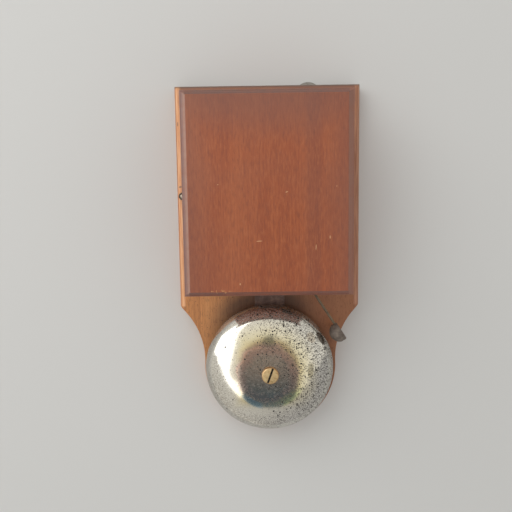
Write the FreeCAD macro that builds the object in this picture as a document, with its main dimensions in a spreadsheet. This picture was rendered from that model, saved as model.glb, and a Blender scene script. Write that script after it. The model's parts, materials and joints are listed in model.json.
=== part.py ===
"""Wooden-cased single-gong electric bell, lying on its back.

Frame: origin at the middle of the bounding box's underside, +Y towards the top of the bell as it hangs,
+X to the right as seen from the front, +Z out of the front. Millimetres.
"""
import FreeCAD, Part
import math
import os
import Sketcher

Vector = FreeCAD.Vector
Rotation = FreeCAD.Rotation

doc = FreeCAD.newDocument("ElectricBell")
nodes = []

# ---------------------------------------------------------------- driving dimensions

DIMENSIONS = [
    # backboard
    ("board_width", 108.0),
    ("board_length", 206.45),
    ("board_thickness", 12.0),
    ("board_edge_round", 3.2),
    ("shoulder_drop", 129.65),          # top edge of the board to the corners above the lobe
    ("lobe_radius", 39.7),
    ("scoop_radius", 45.0),             # hollow sides between the corners and the lobe
    ("wire_hole_radius", 2.0),
    ("fixing_hole_radius", 2.25),
    ("fixing_hole_shift", 27.5),        # wall screw hole, right of the board's centre line
    ("fixing_hole_line", 68.5),
    # hanger
    ("hanger_reach", 3.15),             # stands past the top edge of the board
    ("hanger_radius", 8.0),
    ("hanger_shift", 24.6),
    ("hanger_length", 32.0),
    ("hanger_thickness", 1.6),
    ("hanger_hole_drop", 19.0),         # hole centre below the plate's head
    ("hanger_hole_radius", 4.6),
    ("hanger_slot_width", 4.6),
    ("hanger_slot_rise", 8.0),
    ("hanger_cavity_depth", 4.0),
    ("hanger_screw_rise", 4.0),         # screws above the plate's foot
    ("hanger_screw_spread", 8.4),
    ("hanger_screw_head", 2.7),
    ("hanger_screw_shank", 1.2),
    ("hanger_screw_length", 8.0),
    ("hanger_screw_slot", 0.7),
    # gong
    ("gong_shift", -0.6),
    ("gong_rise", 0.9),                 # gong axis above the centre of the lobe
    ("gong_diameter", 76.2),
    ("gong_height", 15.0),
    ("gong_crown_radius", 85.0),
    ("gong_shoulder_radius", 12.0),
    ("gong_wall", 1.6),
    ("gong_hole_radius", 2.5),
    ("gong_clearance", 6.6),            # rim above the board
    ("gong_washer_thickness", 0.8),
    ("gong_screw_head_radius", 4.85),
    ("gong_screw_head_height", 2.2),
    ("gong_screw_shank", 2.0),
    ("gong_screw_length", 10.0),        # below the underside of the gong
    ("gong_screw_slot", 1.2),
    ("gong_pillar_radius", 4.5),
    ("gong_pillar_flange", 6.0),
    ("gong_tenon_radius", 3.0),
    # cover
    ("cover_width", 88.1),
    ("cover_length", 105.0),
    ("cover_shift", -1.15),
    ("cover_top_margin", 10.75),
    ("cover_overhang", 3.2),
    ("cover_wall", 6.0),
    ("cover_wall_height", 37.0),
    ("panel_thickness", 8.0),
    ("panel_edge_round", 0.4),
    ("panel_field_rise", 1.9),          # the field stands this far above the flat margin
    ("moulding_margin", 0.7),           # flat margin outside the slope
    ("moulding_width", 3.2),            # margin and slope together, at the sides
    ("moulding_end_width", 2.4),        # the same at the head and the foot
    ("block_size", 7.0),
    ("block_height", 9.0),
    ("joint_finger", 7.4),
    ("dowel_radius", 1.2),
    ("dowel_depth", 5.0),               # in the board
    ("dowel_reach", 6.9),               # into the cover's wall
    ("dowel_margin", 20.0),             # from the wall's ends
    ("rod_slot_left", 13.4),
    ("rod_slot_width", 11.0),
    ("rod_slot_headroom", 2.5),         # above the rod's axis
    ("tongue_gap", 0.6),                # round the tongue, in the lower wall
    # iron base frame
    ("frame_thickness", 2.5),
    ("frame_left", 31.5),
    ("frame_right", 30.5),
    ("frame_foot", 1.0),
    ("frame_head", 72.0),
    ("tongue_width", 17.6),
    ("tongue_screw_line", -40.0),
    # magnet
    ("magnet_height", 13.5),            # core axis above the board
    ("coil_low", 14.0),
    ("coil_pitch", 24.5),
    ("core_radius", 4.0),
    ("core_length", 32.6),
    ("pole_gap", 1.6),
    ("bobbin_radius", 10.4),
    ("bobbin_bore", 4.05),
    ("bobbin_flange", 1.5),
    ("bobbin_tube", 5.0),
    ("bobbin_length", 29.6),
    ("winding_radius", 9.4),
    ("yoke_thickness", 3.0),
    ("yoke_half_length", 22.0),
    ("yoke_height", 19.0),
    ("yoke_foot", 8.0),
    ("yoke_screw_spread", 28.0),
    ("bobbin_gap", 0.3),                # between the yoke and the bobbins
    # armature and hammer
    ("armature_line", 15.6),            # middle of the armature, right of the board's centre line
    ("armature_thickness", 3.0),
    ("armature_width", 12.0),
    ("armature_foot", 2.0),
    ("armature_length", 50.0),
    ("spring_thickness", 0.4),
    ("spring_width", 9.0),
    ("spring_foot", 24.0),
    ("spring_clamp_line", 57.0),
    ("spring_grip", 13.0),
    ("contact_spring_thickness", 0.3),
    ("contact_spring_width", 6.0),
    ("contact_spring_bow", 1.9),        # its free end stands this far off the armature spring
    ("contact_disc_radius", 1.6),
    ("contact_disc_thickness", 0.7),
    ("rivet_radius", 0.8),
    ("rivet_head", 1.5),
    ("post_thickness", 6.0),
    ("post_height", 18.0),
    ("post_foot", 8.0),
    ("clamp_plate", 1.5),
    ("rod_radius", 0.7),
    ("rod_height", 11.0),               # rod axis above the board
    ("rod_bend_line", -1.0),
    ("rod_socket", 9.0),
    ("rod_bend_radius", 5.0),
    ("hammer_shift", 41.7),             # middle of the hammer's flat back
    ("hammer_line", -41.2),
    ("hammer_radius", 5.55),
    ("hammer_straight", 3.5),
    ("hammer_depth", 7.3),
    ("hammer_back", 1.3),               # rod axis in front of the flat back
    # contact
    ("contact_line", 14.0),
    ("contact_gap", 0.03),              # between the disc and the tip, which touch in use
    ("contact_tip_radius", 0.7),
    ("contact_tip_length", 0.7),
    ("contact_screw_radius", 1.5),
    ("contact_screw_length", 10.4),
    ("contact_pillar_width", 8.0),
    ("contact_pillar_depth", 5.0),
    ("contact_pillar_setback", 1.6),    # behind the screw's end
    ("contact_pillar_foot", 6.0),       # each way beyond the upright
    ("contact_pillar_rise", 4.0),       # above the screw's axis
    ("contact_foot_thickness", 2.0),
    ("insulator_thickness", 1.0),
    ("insulator_margin", 0.8),
    ("bush_radius", 2.05),
    ("bush_collar_radius", 2.45),
    ("bush_collar_thickness", 0.6),
    ("lock_nut_radius", 3.6),
    ("lock_nut_thickness", 2.0),
    # terminals
    ("terminal_left", -20.0),
    ("terminal_right", 14.0),
    ("terminal_line", 76.0),
    ("terminal_radius", 2.0),
    ("terminal_spike", 8.0),            # in the board
    ("terminal_flange_radius", 4.2),
    ("terminal_flange_height", 3.0),
    ("terminal_washer", 0.8),
    ("terminal_notch", 12.0),           # the frame stays this far below the terminals
    ("wire_hole_drop", 7.0),            # supply wire holes below the terminals
    ("terminal_height", 15.0),
    ("terminal_nut_radius", 4.6),
    ("terminal_nut_height", 5.0),
    ("wire_radius", 0.6),
    # fixing lug of the cover
    ("lug_line", 38.1),
    ("lug_reach", 8.5),                 # eye centre beyond the cover's left wall
    ("lug_eye_radius", 2.3),
    ("lug_thickness", 1.2),
    ("lug_height", 13.0),
    ("lug_width", 9.0),
    ("lug_fixing_height", 8.5),          # the lug's screws, above the board
    ("lug_fixing_spread", 4.4),
    ("cover_screw_radius", 0.9),
    ("cover_screw_head", 1.4),
    ("cover_screw_length", 6.5),
    ("cover_screw_slot", 0.5),
    # fits
    ("running_clearance", 0.05),
    ("screw_clearance", 0.2),
]

SCREWS = [
    # name, head radius, head height, shank radius, shank length
    ("frame_screw", 3.4, 2.0, 1.7, 10.0),
    ("pillar_screw", 2.3, 1.3, 1.2, 11.0),
    ("lug_screw", 1.5, 0.8, 0.85, 5.0),
    ("yoke_screw", 2.4, 1.5, 1.25, 4.9),
    ("core_screw", 3.2, 1.8, 2.0, 8.0),
    ("post_screw", 2.2, 1.4, 1.25, 4.9),
    ("clamp_screw", 1.9, 1.2, 1.0, 5.0),
]
SCREW_PARTS = ("head", "rise", "shank", "length")
for screw_name, *screw_sizes in SCREWS:
    DIMENSIONS += [("%s_%s" % (screw_name, part), size) for part, size in zip(SCREW_PARTS, screw_sizes)]

sheet = doc.addObject("Spreadsheet::Sheet", "dims")
for row, (alias, number) in enumerate(DIMENSIONS, start=1):
    sheet.set("A%d" % row, alias)
    sheet.set("B%d" % row, str(number))
    sheet.setAlias("B%d" % row, alias)
doc.recompute()


def value(text):
    """Number that an expression on the sheet gives."""
    return float(sheet.evalExpression(str(text)))


def total(*texts):
    """Expression that adds up other expressions."""
    return " + ".join("(%s)" % text for text in texts)


def minus(text):
    return "-(%s)" % text


# ---------------------------------------------------------------- places worked out from the sheet

BOARD_TOP = "(dims.board_length - dims.hanger_reach) / 2"
BOARD_FOOT = "-(dims.board_length + dims.hanger_reach) / 2"
FRONT = "dims.board_thickness"
SHOULDER = total(BOARD_TOP, "-dims.shoulder_drop")
LOBE_Y = total(BOARD_FOOT, "dims.lobe_radius")
GONG_X = "dims.gong_shift"
GONG_Y = total(LOBE_Y, "dims.gong_rise")
RIM_Z = total(FRONT, "dims.gong_clearance")
APEX_Z = total(RIM_Z, "dims.gong_height")
COVER_TOP = total(BOARD_TOP, "-dims.cover_top_margin")
COVER_FOOT = total(COVER_TOP, "-dims.cover_length")
COVER_LEFT = "dims.cover_shift - dims.cover_width / 2"
CASE_LEFT = total(COVER_LEFT, "dims.cover_overhang")
CASE_FOOT = total(COVER_FOOT, "dims.cover_overhang")
CASE_WIDTH = "(dims.cover_width - 2 * dims.cover_overhang)"
CASE_LENGTH = "(dims.cover_length - 2 * dims.cover_overhang)"
CASE_TOP = total(CASE_FOOT, CASE_LENGTH)
PANEL_Z = total(FRONT, "dims.cover_wall_height")
FRAME_Z = total(FRONT, "dims.frame_thickness")
MAGNET_Z = total(FRONT, "dims.magnet_height")
COIL_YS = ["dims.coil_low", "dims.coil_low + dims.coil_pitch"]
COIL_MIDDLE = "dims.coil_low + dims.coil_pitch / 2"
ARMATURE_LEFT = "dims.armature_line - dims.armature_thickness / 2"
ARMATURE_RIGHT = "dims.armature_line + dims.armature_thickness / 2"
POLE_X = total(ARMATURE_LEFT, "-dims.pole_gap")
YOKE_RIGHT = total(POLE_X, "-dims.core_length")
YOKE_LEFT = total(YOKE_RIGHT, "-dims.yoke_thickness")
ROD_Z = total(FRONT, "dims.rod_height")
SPRING_LEFT = ARMATURE_RIGHT
SPRING_RIGHT = total(SPRING_LEFT, "dims.spring_thickness")
LUG_X = total(CASE_LEFT, "-dims.lug_reach")


# ---------------------------------------------------------------- helpers

def named(obj, name):
    """Register a finished sub-part under its node name."""
    obj.Label = name
    nodes.append(obj)
    return obj


def place(obj, x="0", y="0", z="0", turn=None):
    """Bind an object's position to expressions, with a fixed turn."""
    if turn is not None:
        obj.Placement = FreeCAD.Placement(Vector(), turn)
    for axis, text in (("x", x), ("y", y), ("z", z)):
        obj.setExpression("Placement.Base.%s" % axis, text)
    return obj


ALONG = {
    "+X": Rotation(Vector(0, 1, 0), 90),
    "-X": Rotation(Vector(0, 1, 0), -90),
    "+Y": Rotation(Vector(1, 0, 0), -90),
    "-Y": Rotation(Vector(1, 0, 0), 90),
    "+Z": Rotation(),
    "-Z": Rotation(Vector(1, 0, 0), 180),
}


def unused(kind):
    return "%s%03d" % (kind, len(doc.Objects))


def box(low, size):
    """Block from its lowest corner and its three sizes, all expressions."""
    block = doc.addObject("Part::Box", unused("Block"))
    for name, text in zip(("Length", "Width", "Height"), size):
        block.setExpression(name, text)
    return place(block, *low)


def frustum(across, lengthwise, slope, end_slope, rise):
    """Block with four sides that slope in; its base lies in its own X-Z plane, and it rises along Y."""
    raised = doc.addObject("Part::Wedge", unused("Raised"))
    cells = {"Xmin": "0", "Ymin": "0", "Zmin": "0", "Xmax": across, "Ymax": rise, "Zmax": lengthwise,
             "X2min": slope, "Z2min": end_slope, "X2max": total(across, minus(slope)),
             "Z2max": total(lengthwise, minus(end_slope))}
    for name, text in cells.items():
        raised.setExpression(name, text)
    return raised


def cylinder(start, radius, length, along="+Z"):
    """Round bar from the middle of its first end."""
    bar = doc.addObject("Part::Cylinder", unused("Bar"))
    bar.setExpression("Radius", radius)
    bar.setExpression("Height", length)
    return place(bar, *start, turn=ALONG[along] if isinstance(along, str) else along)


def fuse(*shapes):
    joined = doc.addObject("Part::MultiFuse", unused("Joined"))
    joined.Shapes = list(shapes)
    joined.Refine = True
    return joined


def group(*shapes):
    together = doc.addObject("Part::Compound", unused("Group"))
    together.Links = list(shapes)
    return together


def cut(base, *tools):
    less = doc.addObject("Part::Cut", unused("Less"))
    less.Base = base
    less.Tool = tools[0] if len(tools) == 1 else group(*tools)
    less.Refine = True
    return less


def round_edges(base, radius, chosen):
    """Round the straight or round edges that the test picks, at their middle point."""
    doc.recompute()
    picked = []
    for number, edge in enumerate(base.Shape.Edges, start=1):
        middle = edge.valueAt((edge.FirstParameter + edge.LastParameter) / 2)
        if chosen(middle, edge):
            picked.append((number, radius, radius))
    rounded = doc.addObject("Part::Fillet", unused("Rounded"))
    rounded.Base = base
    rounded.Edges = picked
    return rounded


def body_sketch(body, role, name):
    sketch = body.newObject("Sketcher::SketchObject", name)
    plane = [item for item in body.Origin.OriginFeatures if item.Role == role][0]
    sketch.AttachmentSupport = [(plane, "")]
    sketch.MapMode = "FlatFace"
    return sketch


def dimension(sketch, kind, refs, text):
    """Add a dimension whose value follows an expression."""
    index = sketch.addConstraint(Sketcher.Constraint(kind, *refs, value(text)))
    sketch.setExpression("Constraints[%d]" % index, text)


def pin_point(sketch, geo, pos, x, y):
    """Tie a sketch point to a pair of coordinates."""
    for kind, axis, text in (("DistanceX", -2, x), ("DistanceY", -1, y)):
        if abs(value(text)) < 1e-9:
            sketch.addConstraint(Sketcher.Constraint("PointOnObject", geo, pos, axis))
        else:
            dimension(sketch, kind, (-1, 1, geo, pos), text)


def outline(sketch, corners):
    """Closed outline. A corner is (x, y), or (x, y, radius) where an arc that bulges outwards ends there.

    Corners run anticlockwise.
    """
    points = [Vector(value(corner[0]), value(corner[1]), 0) for corner in corners]
    count = len(corners)
    for index in range(count):
        start = points[index]
        after = (index + 1) % count
        end = points[after]
        if len(corners[after]) == 3:
            radius = value(corners[after][2])
            half = (end - start) / 2
            inward = Vector(-half.y, half.x, 0).normalize()
            centre = start + half + inward * math.sqrt(max(radius ** 2 - half.Length ** 2, 0))
            first = math.atan2(start.y - centre.y, start.x - centre.x)
            last = math.atan2(end.y - centre.y, end.x - centre.x)
            circle = Part.Circle(centre, Vector(0, 0, 1), radius)
            sketch.addGeometry(Part.ArcOfCircle(circle, first, last), False)
        else:
            sketch.addGeometry(Part.LineSegment(start, end), False)
    for index in range(count):
        sketch.addConstraint(Sketcher.Constraint("Coincident", index, 2, (index + 1) % count, 1))
        pin_point(sketch, index, 1, corners[index][0], corners[index][1])
    for index, corner in enumerate(corners):
        if len(corner) == 3:
            dimension(sketch, "Radius", ((index - 1) % count,), corner[2])


def turned(corners):
    """Solid of revolution about the sketch's upright axis: corners are (radius, height)."""
    body = doc.addObject("PartDesign::Body", unused("Turned"))
    sketch = body_sketch(body, "XZ_Plane", unused("Profile"))
    outline(sketch, corners)
    spin = body.newObject("PartDesign::Revolution", unused("Spin"))
    spin.Profile = sketch
    spin.ReferenceAxis = (sketch, ["V_Axis"])
    return body


def padded(corners, height):
    """Flat piece with an outline, as thick as the expression says."""
    body = doc.addObject("PartDesign::Body", unused("Plate"))
    sketch = body_sketch(body, "XY_Plane", unused("Outline"))
    outline(sketch, corners)
    pad = body.newObject("PartDesign::Pad", unused("Pad"))
    pad.Profile = sketch
    pad.setExpression("Length", height)
    return body


def rectangle(left, foot, width, length):
    """Corners of a rectangle, for outline()."""
    right = total(left, width)
    head = total(foot, length)
    return [(left, foot), (right, foot), (right, head), (left, head)]


def copies(master, spots, turn=None):
    """Several of one fastener, as links in one group."""
    links = []
    for spot in spots:
        link = doc.addObject("App::Link", unused("Copy"))
        link.LinkedObject = master
        links.append(place(link, *spot, turn=turn))
    return group(*links)


SLOT_SHARE = 0.24                       # slot width as a share of the head's radius
NARROWEST_SLOT = 0.4
POINT_SHARE = 0.25                      # radius of a wood screw's point as a share of its shank


def screw_cells(name):
    return ["dims.%s_%s" % (name, part) for part in SCREW_PARTS]


def slot_across(radius, low, height):
    """Block that cuts a screwdriver slot across a head that stands on z = 0."""
    width = "max(%g * %s; %g)" % (SLOT_SHARE, radius, NARROWEST_SLOT)
    return box(("-1.2 * " + radius, "-%s / 2" % width, low), ("2.4 * " + radius, width, height))


def wood_screw(name):
    """Slotted round-head screw, its head standing on z = 0 and its shank going down."""
    radius, rise, shank_radius, length = screw_cells(name)
    ball_radius = "(%s ^ 2 + %s ^ 2) / (2 * %s)" % (radius, rise, rise)
    head = doc.addObject("Part::Sphere", unused("Head"))
    head.setExpression("Radius", ball_radius)
    head.setExpression("Angle1", "90 deg - 2 * atan(%s / %s)" % (rise, radius))
    head.setExpression("Placement.Base.z", "%s - %s" % (rise, ball_radius))
    shank = doc.addObject("Part::Cone", unused("Shank"))
    shank.setExpression("Radius1", "%g * %s" % (POINT_SHARE, shank_radius))
    shank.setExpression("Radius2", shank_radius)
    shank.setExpression("Height", length)
    shank.setExpression("Placement.Base.z", minus(length))
    return cut(fuse(head, shank), slot_across(radius, rise + " * 0.45", rise))


def machine_screw(name):
    """Slotted cheese-head screw, its head standing on z = 0 and its shank going down."""
    radius, rise, shank_radius, length = screw_cells(name)
    head = cylinder(("0", "0", "0"), radius, rise)
    shank = cylinder(("0", "0", minus(length)), shank_radius, length)
    return cut(fuse(head, shank), slot_across(radius, rise + " * 0.5", rise))


def wire(points, radius, bend):
    """Round wire through corner points, its bends as tangent arcs."""
    corners = [Vector(*(value(text) for text in point)) for point in points]
    edges = []
    last = corners[0]
    for before, corner, after in zip(corners, corners[1:], corners[2:]):
        arrive = (corner - before).normalize()
        leave = (after - corner).normalize()
        half_turn = arrive.getAngle(leave) / 2
        reach = bend * math.tan(half_turn)
        start = corner - arrive * reach
        end = corner + leave * reach
        inward = (leave - arrive).normalize()
        middle = corner + inward * bend * (1 / math.cos(half_turn) - 1)
        edges.append(Part.LineSegment(last, start).toShape())
        edges.append(Part.Arc(start, middle, end).toShape())
        last = end
    edges.append(Part.LineSegment(last, corners[-1]).toShape())
    path = Part.Wire(edges)
    first = (corners[1] - corners[0]).normalize()
    section = Part.Wire([Part.Circle(corners[0], first, radius).toShape()])
    swept = doc.addObject("Part::Feature", unused("Wire"))
    swept.Shape = path.makePipeShell([section], True, True)
    ratio = swept.Shape.Volume / (math.pi * radius ** 2 * path.Length)
    if abs(ratio - 1) > 0.01:
        raise RuntimeError("wire %s has the wrong volume: %.3f" % (swept.Name, ratio))
    return swept


# ---------------------------------------------------------------- backboard and hanger

def make_backboard():
    """Board with square upper corners, hollow sides and a round lobe behind the gong."""
    body = doc.addObject("PartDesign::Body", "Board")
    sketch = body_sketch(body, "XY_Plane", "BoardOutline")
    half = value("dims.board_width / 2")
    top = value(BOARD_TOP)
    shoulder = value(SHOULDER)
    lobe = value("dims.lobe_radius")
    scoop = value("dims.scoop_radius")
    lobe_y = value(LOBE_Y)
    # the scoop touches the lobe from outside and runs through the corner
    apart = lobe + scoop
    span = Vector(half, shoulder - lobe_y, 0)
    along = (apart ** 2 - scoop ** 2 + span.Length ** 2) / (2 * span.Length)
    across = math.sqrt(apart ** 2 - along ** 2)
    forward = Vector(span).normalize()
    sideways = Vector(forward.y, -forward.x, 0)
    scoop_centre = Vector(0, lobe_y, 0) + forward * along + sideways * across
    touch = Vector(0, lobe_y, 0) + (scoop_centre - Vector(0, lobe_y, 0)) * (lobe / apart)

    def angle(point, centre):
        return math.atan2(point.y - centre.y, point.x - centre.x)

    def mirrored(point):
        return Vector(-point.x, point.y, 0)

    up = Vector(0, 0, 1)
    corner = Vector(half, shoulder, 0)
    lobe_centre = Vector(0, lobe_y, 0)
    right_arc = Part.Circle(scoop_centre, up, scoop)
    left_arc = Part.Circle(mirrored(scoop_centre), up, scoop)
    full = 2 * math.pi
    sketch.addGeometry([
        Part.LineSegment(Vector(half, top, 0), Vector(-half, top, 0)),
        Part.LineSegment(Vector(-half, top, 0), mirrored(corner)),
        Part.ArcOfCircle(left_arc, angle(mirrored(touch), mirrored(scoop_centre)),
                         angle(mirrored(corner), mirrored(scoop_centre))),
        Part.ArcOfCircle(Part.Circle(lobe_centre, up, lobe), angle(mirrored(touch), lobe_centre),
                         angle(touch, lobe_centre) + full),
        Part.ArcOfCircle(right_arc, angle(corner, scoop_centre) % full, angle(touch, scoop_centre) % full),
        Part.LineSegment(corner, Vector(half, top, 0)),
    ], False)
    TOP, LEFT, LEFT_SCOOP, LOBE, RIGHT_SCOOP, RIGHT = range(6)
    add = sketch.addConstraint
    add(Sketcher.Constraint("Coincident", TOP, 2, LEFT, 1))
    add(Sketcher.Constraint("Coincident", LEFT, 2, LEFT_SCOOP, 2))
    add(Sketcher.Constraint("Tangent", LEFT_SCOOP, 1, LOBE, 1))
    add(Sketcher.Constraint("Tangent", LOBE, 2, RIGHT_SCOOP, 2))
    add(Sketcher.Constraint("Coincident", RIGHT_SCOOP, 1, RIGHT, 1))
    add(Sketcher.Constraint("Coincident", RIGHT, 2, TOP, 1))
    add(Sketcher.Constraint("PointOnObject", LOBE, 3, -2))
    pin_point(sketch, TOP, 1, "dims.board_width / 2", BOARD_TOP)
    pin_point(sketch, TOP, 2, "-dims.board_width / 2", BOARD_TOP)
    pin_point(sketch, LEFT, 2, "-dims.board_width / 2", SHOULDER)
    pin_point(sketch, RIGHT, 1, "dims.board_width / 2", SHOULDER)
    dimension(sketch, "DistanceY", (-1, 1, LOBE, 3), LOBE_Y)
    dimension(sketch, "Radius", (LOBE,), "dims.lobe_radius")
    dimension(sketch, "Radius", (LEFT_SCOOP,), "dims.scoop_radius")
    dimension(sketch, "Radius", (RIGHT_SCOOP,), "dims.scoop_radius")
    pad = body.newObject("PartDesign::Pad", "BoardThickness")
    pad.Profile = sketch
    pad.setExpression("Length", "dims.board_thickness")
    doc.recompute()

    front = value(FRONT)
    edges = []
    for number, edge in enumerate(pad.Shape.Edges, start=1):
        middle = edge.valueAt((edge.FirstParameter + edge.LastParameter) / 2)
        if abs(middle.z - front) < 1e-6 and middle.y > shoulder + 1:
            edges.append("Edge%d" % number)
    arris = body.newObject("PartDesign::Fillet", "Arris")
    arris.Base = (pad, edges)
    arris.setExpression("Radius", "dims.board_edge_round")
    doc.recompute()

    through = total(FRONT, "2")
    wire_line = "dims.terminal_line - dims.wire_hole_drop"
    holes = [cylinder((x, wire_line, "-1"), "dims.wire_hole_radius", through) for x in TERMINAL_XS.values()]
    holes.append(cylinder(("dims.fixing_hole_shift", "dims.fixing_hole_line", "-1"),
                          "dims.fixing_hole_radius", through))
    holes.append(hanger_plan("-1", "dims.hanger_thickness + 1"))
    reach = "dims.hanger_hole_radius"
    holes.append(box((total("dims.hanger_shift", minus(reach)), total(HANGER_HOLE_Y, minus(reach)), "-1"),
                     ("2 * " + reach, "dims.hanger_slot_rise + 2 * " + reach,
                      "1 + dims.hanger_thickness + dims.hanger_cavity_depth")))
    holes.append(cylinder((LUG_X, "dims.lug_line", total(FRONT, "-dims.cover_screw_length - 0.5")),
                          COVER_SCREW_BORE, "dims.cover_screw_length + 1.5"))
    holes += [cylinder((x, y, total(FRONT, "-dims.dowel_depth - 0.1")),
                       "dims.dowel_radius + 0.1", "dims.dowel_depth + 1") for x, y in DOWELS]
    named(cut(body, *holes), "backboard")


HANGER_HEAD = total(BOARD_TOP, "dims.hanger_reach")
HANGER_CENTRE_Y = total(HANGER_HEAD, "-dims.hanger_radius")
HANGER_FOOT = total(HANGER_HEAD, "-dims.hanger_length")
HANGER_HOLE_Y = total(HANGER_HEAD, "-dims.hanger_hole_drop")
HANGER_SCREW_Y = total(HANGER_FOOT, "dims.hanger_screw_rise")
HANGER_SCREWS = [("dims.hanger_shift + (%d) * dims.hanger_screw_spread / 2" % side, HANGER_SCREW_Y)
                 for side in (-1, 1)]
COVER_SCREW_BORE = "dims.cover_screw_radius + dims.running_clearance"
DOWEL_X = total(CASE_LEFT, CASE_WIDTH, "-dims.cover_wall / 2")
DOWELS = [(DOWEL_X, total(CASE_FOOT, "dims.dowel_margin")), (DOWEL_X, total(CASE_TOP, "-dims.dowel_margin"))]


def hanger_plan(low, thickness):
    """Plate with a half-round head, from z = low, for the hanger and for its seat in the board."""
    blade = box(("dims.hanger_shift - dims.hanger_radius", HANGER_FOOT, low),
                ("2 * dims.hanger_radius", "dims.hanger_length - dims.hanger_radius", thickness))
    head = cylinder(("dims.hanger_shift", HANGER_CENTRE_Y, low), "dims.hanger_radius", thickness)
    return fuse(blade, head)


def make_hanger():
    """Steel keyhole plate let into the back of the board, its round head past the top edge."""
    height = "dims.hanger_thickness + 2"
    keyhole = fuse(
        cylinder(("dims.hanger_shift", HANGER_HOLE_Y, "-1"), "dims.hanger_hole_radius", height),
        box(("dims.hanger_shift - dims.hanger_slot_width / 2", HANGER_HOLE_Y, "-1"),
            ("dims.hanger_slot_width", "dims.hanger_slot_rise", height)),
        cylinder(("dims.hanger_shift", total(HANGER_HOLE_Y, "dims.hanger_slot_rise"), "-1"),
                 "dims.hanger_slot_width / 2", height))
    seats = [countersink(x, y) for x, y in HANGER_SCREWS]
    named(cut(hanger_plan("0", "dims.hanger_thickness"), keyhole, *seats), "hanger_plate")
    named(copies(countersunk_screw(), [(x, y, "0") for x, y in HANGER_SCREWS]), "hanger_screws")


def countersink(x, y):
    """Conical seat with its mouth on the back of the hanger plate."""
    seat = doc.addObject("Part::Cone", unused("Seat"))
    seat.setExpression("Radius1", "dims.hanger_screw_head + dims.running_clearance")
    seat.setExpression("Radius2", "dims.hanger_screw_shank + dims.running_clearance")
    seat.setExpression("Height", "dims.hanger_thickness")
    return place(seat, x, y, "0")


def countersunk_screw():
    """Slotted countersunk wood screw, its flat head at z = 0 and its point up."""
    head = doc.addObject("Part::Cone", unused("Head"))
    head.setExpression("Radius1", "dims.hanger_screw_head")
    head.setExpression("Radius2", "dims.hanger_screw_shank")
    head.setExpression("Height", "dims.hanger_thickness")
    shank = doc.addObject("Part::Cone", unused("Shank"))
    shank.setExpression("Radius1", "dims.hanger_screw_shank")
    shank.setExpression("Radius2", "%g * dims.hanger_screw_shank" % POINT_SHARE)
    shank.setExpression("Height", "dims.hanger_screw_length")
    shank.setExpression("Placement.Base.z", "dims.hanger_thickness")
    slot = box(("-1.2 * dims.hanger_screw_head", "-dims.hanger_screw_slot / 2", "0"),
               ("2.4 * dims.hanger_screw_head", "dims.hanger_screw_slot", "dims.hanger_screw_slot"))
    return cut(fuse(head, shank), slot)


# ---------------------------------------------------------------- gong

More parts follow.
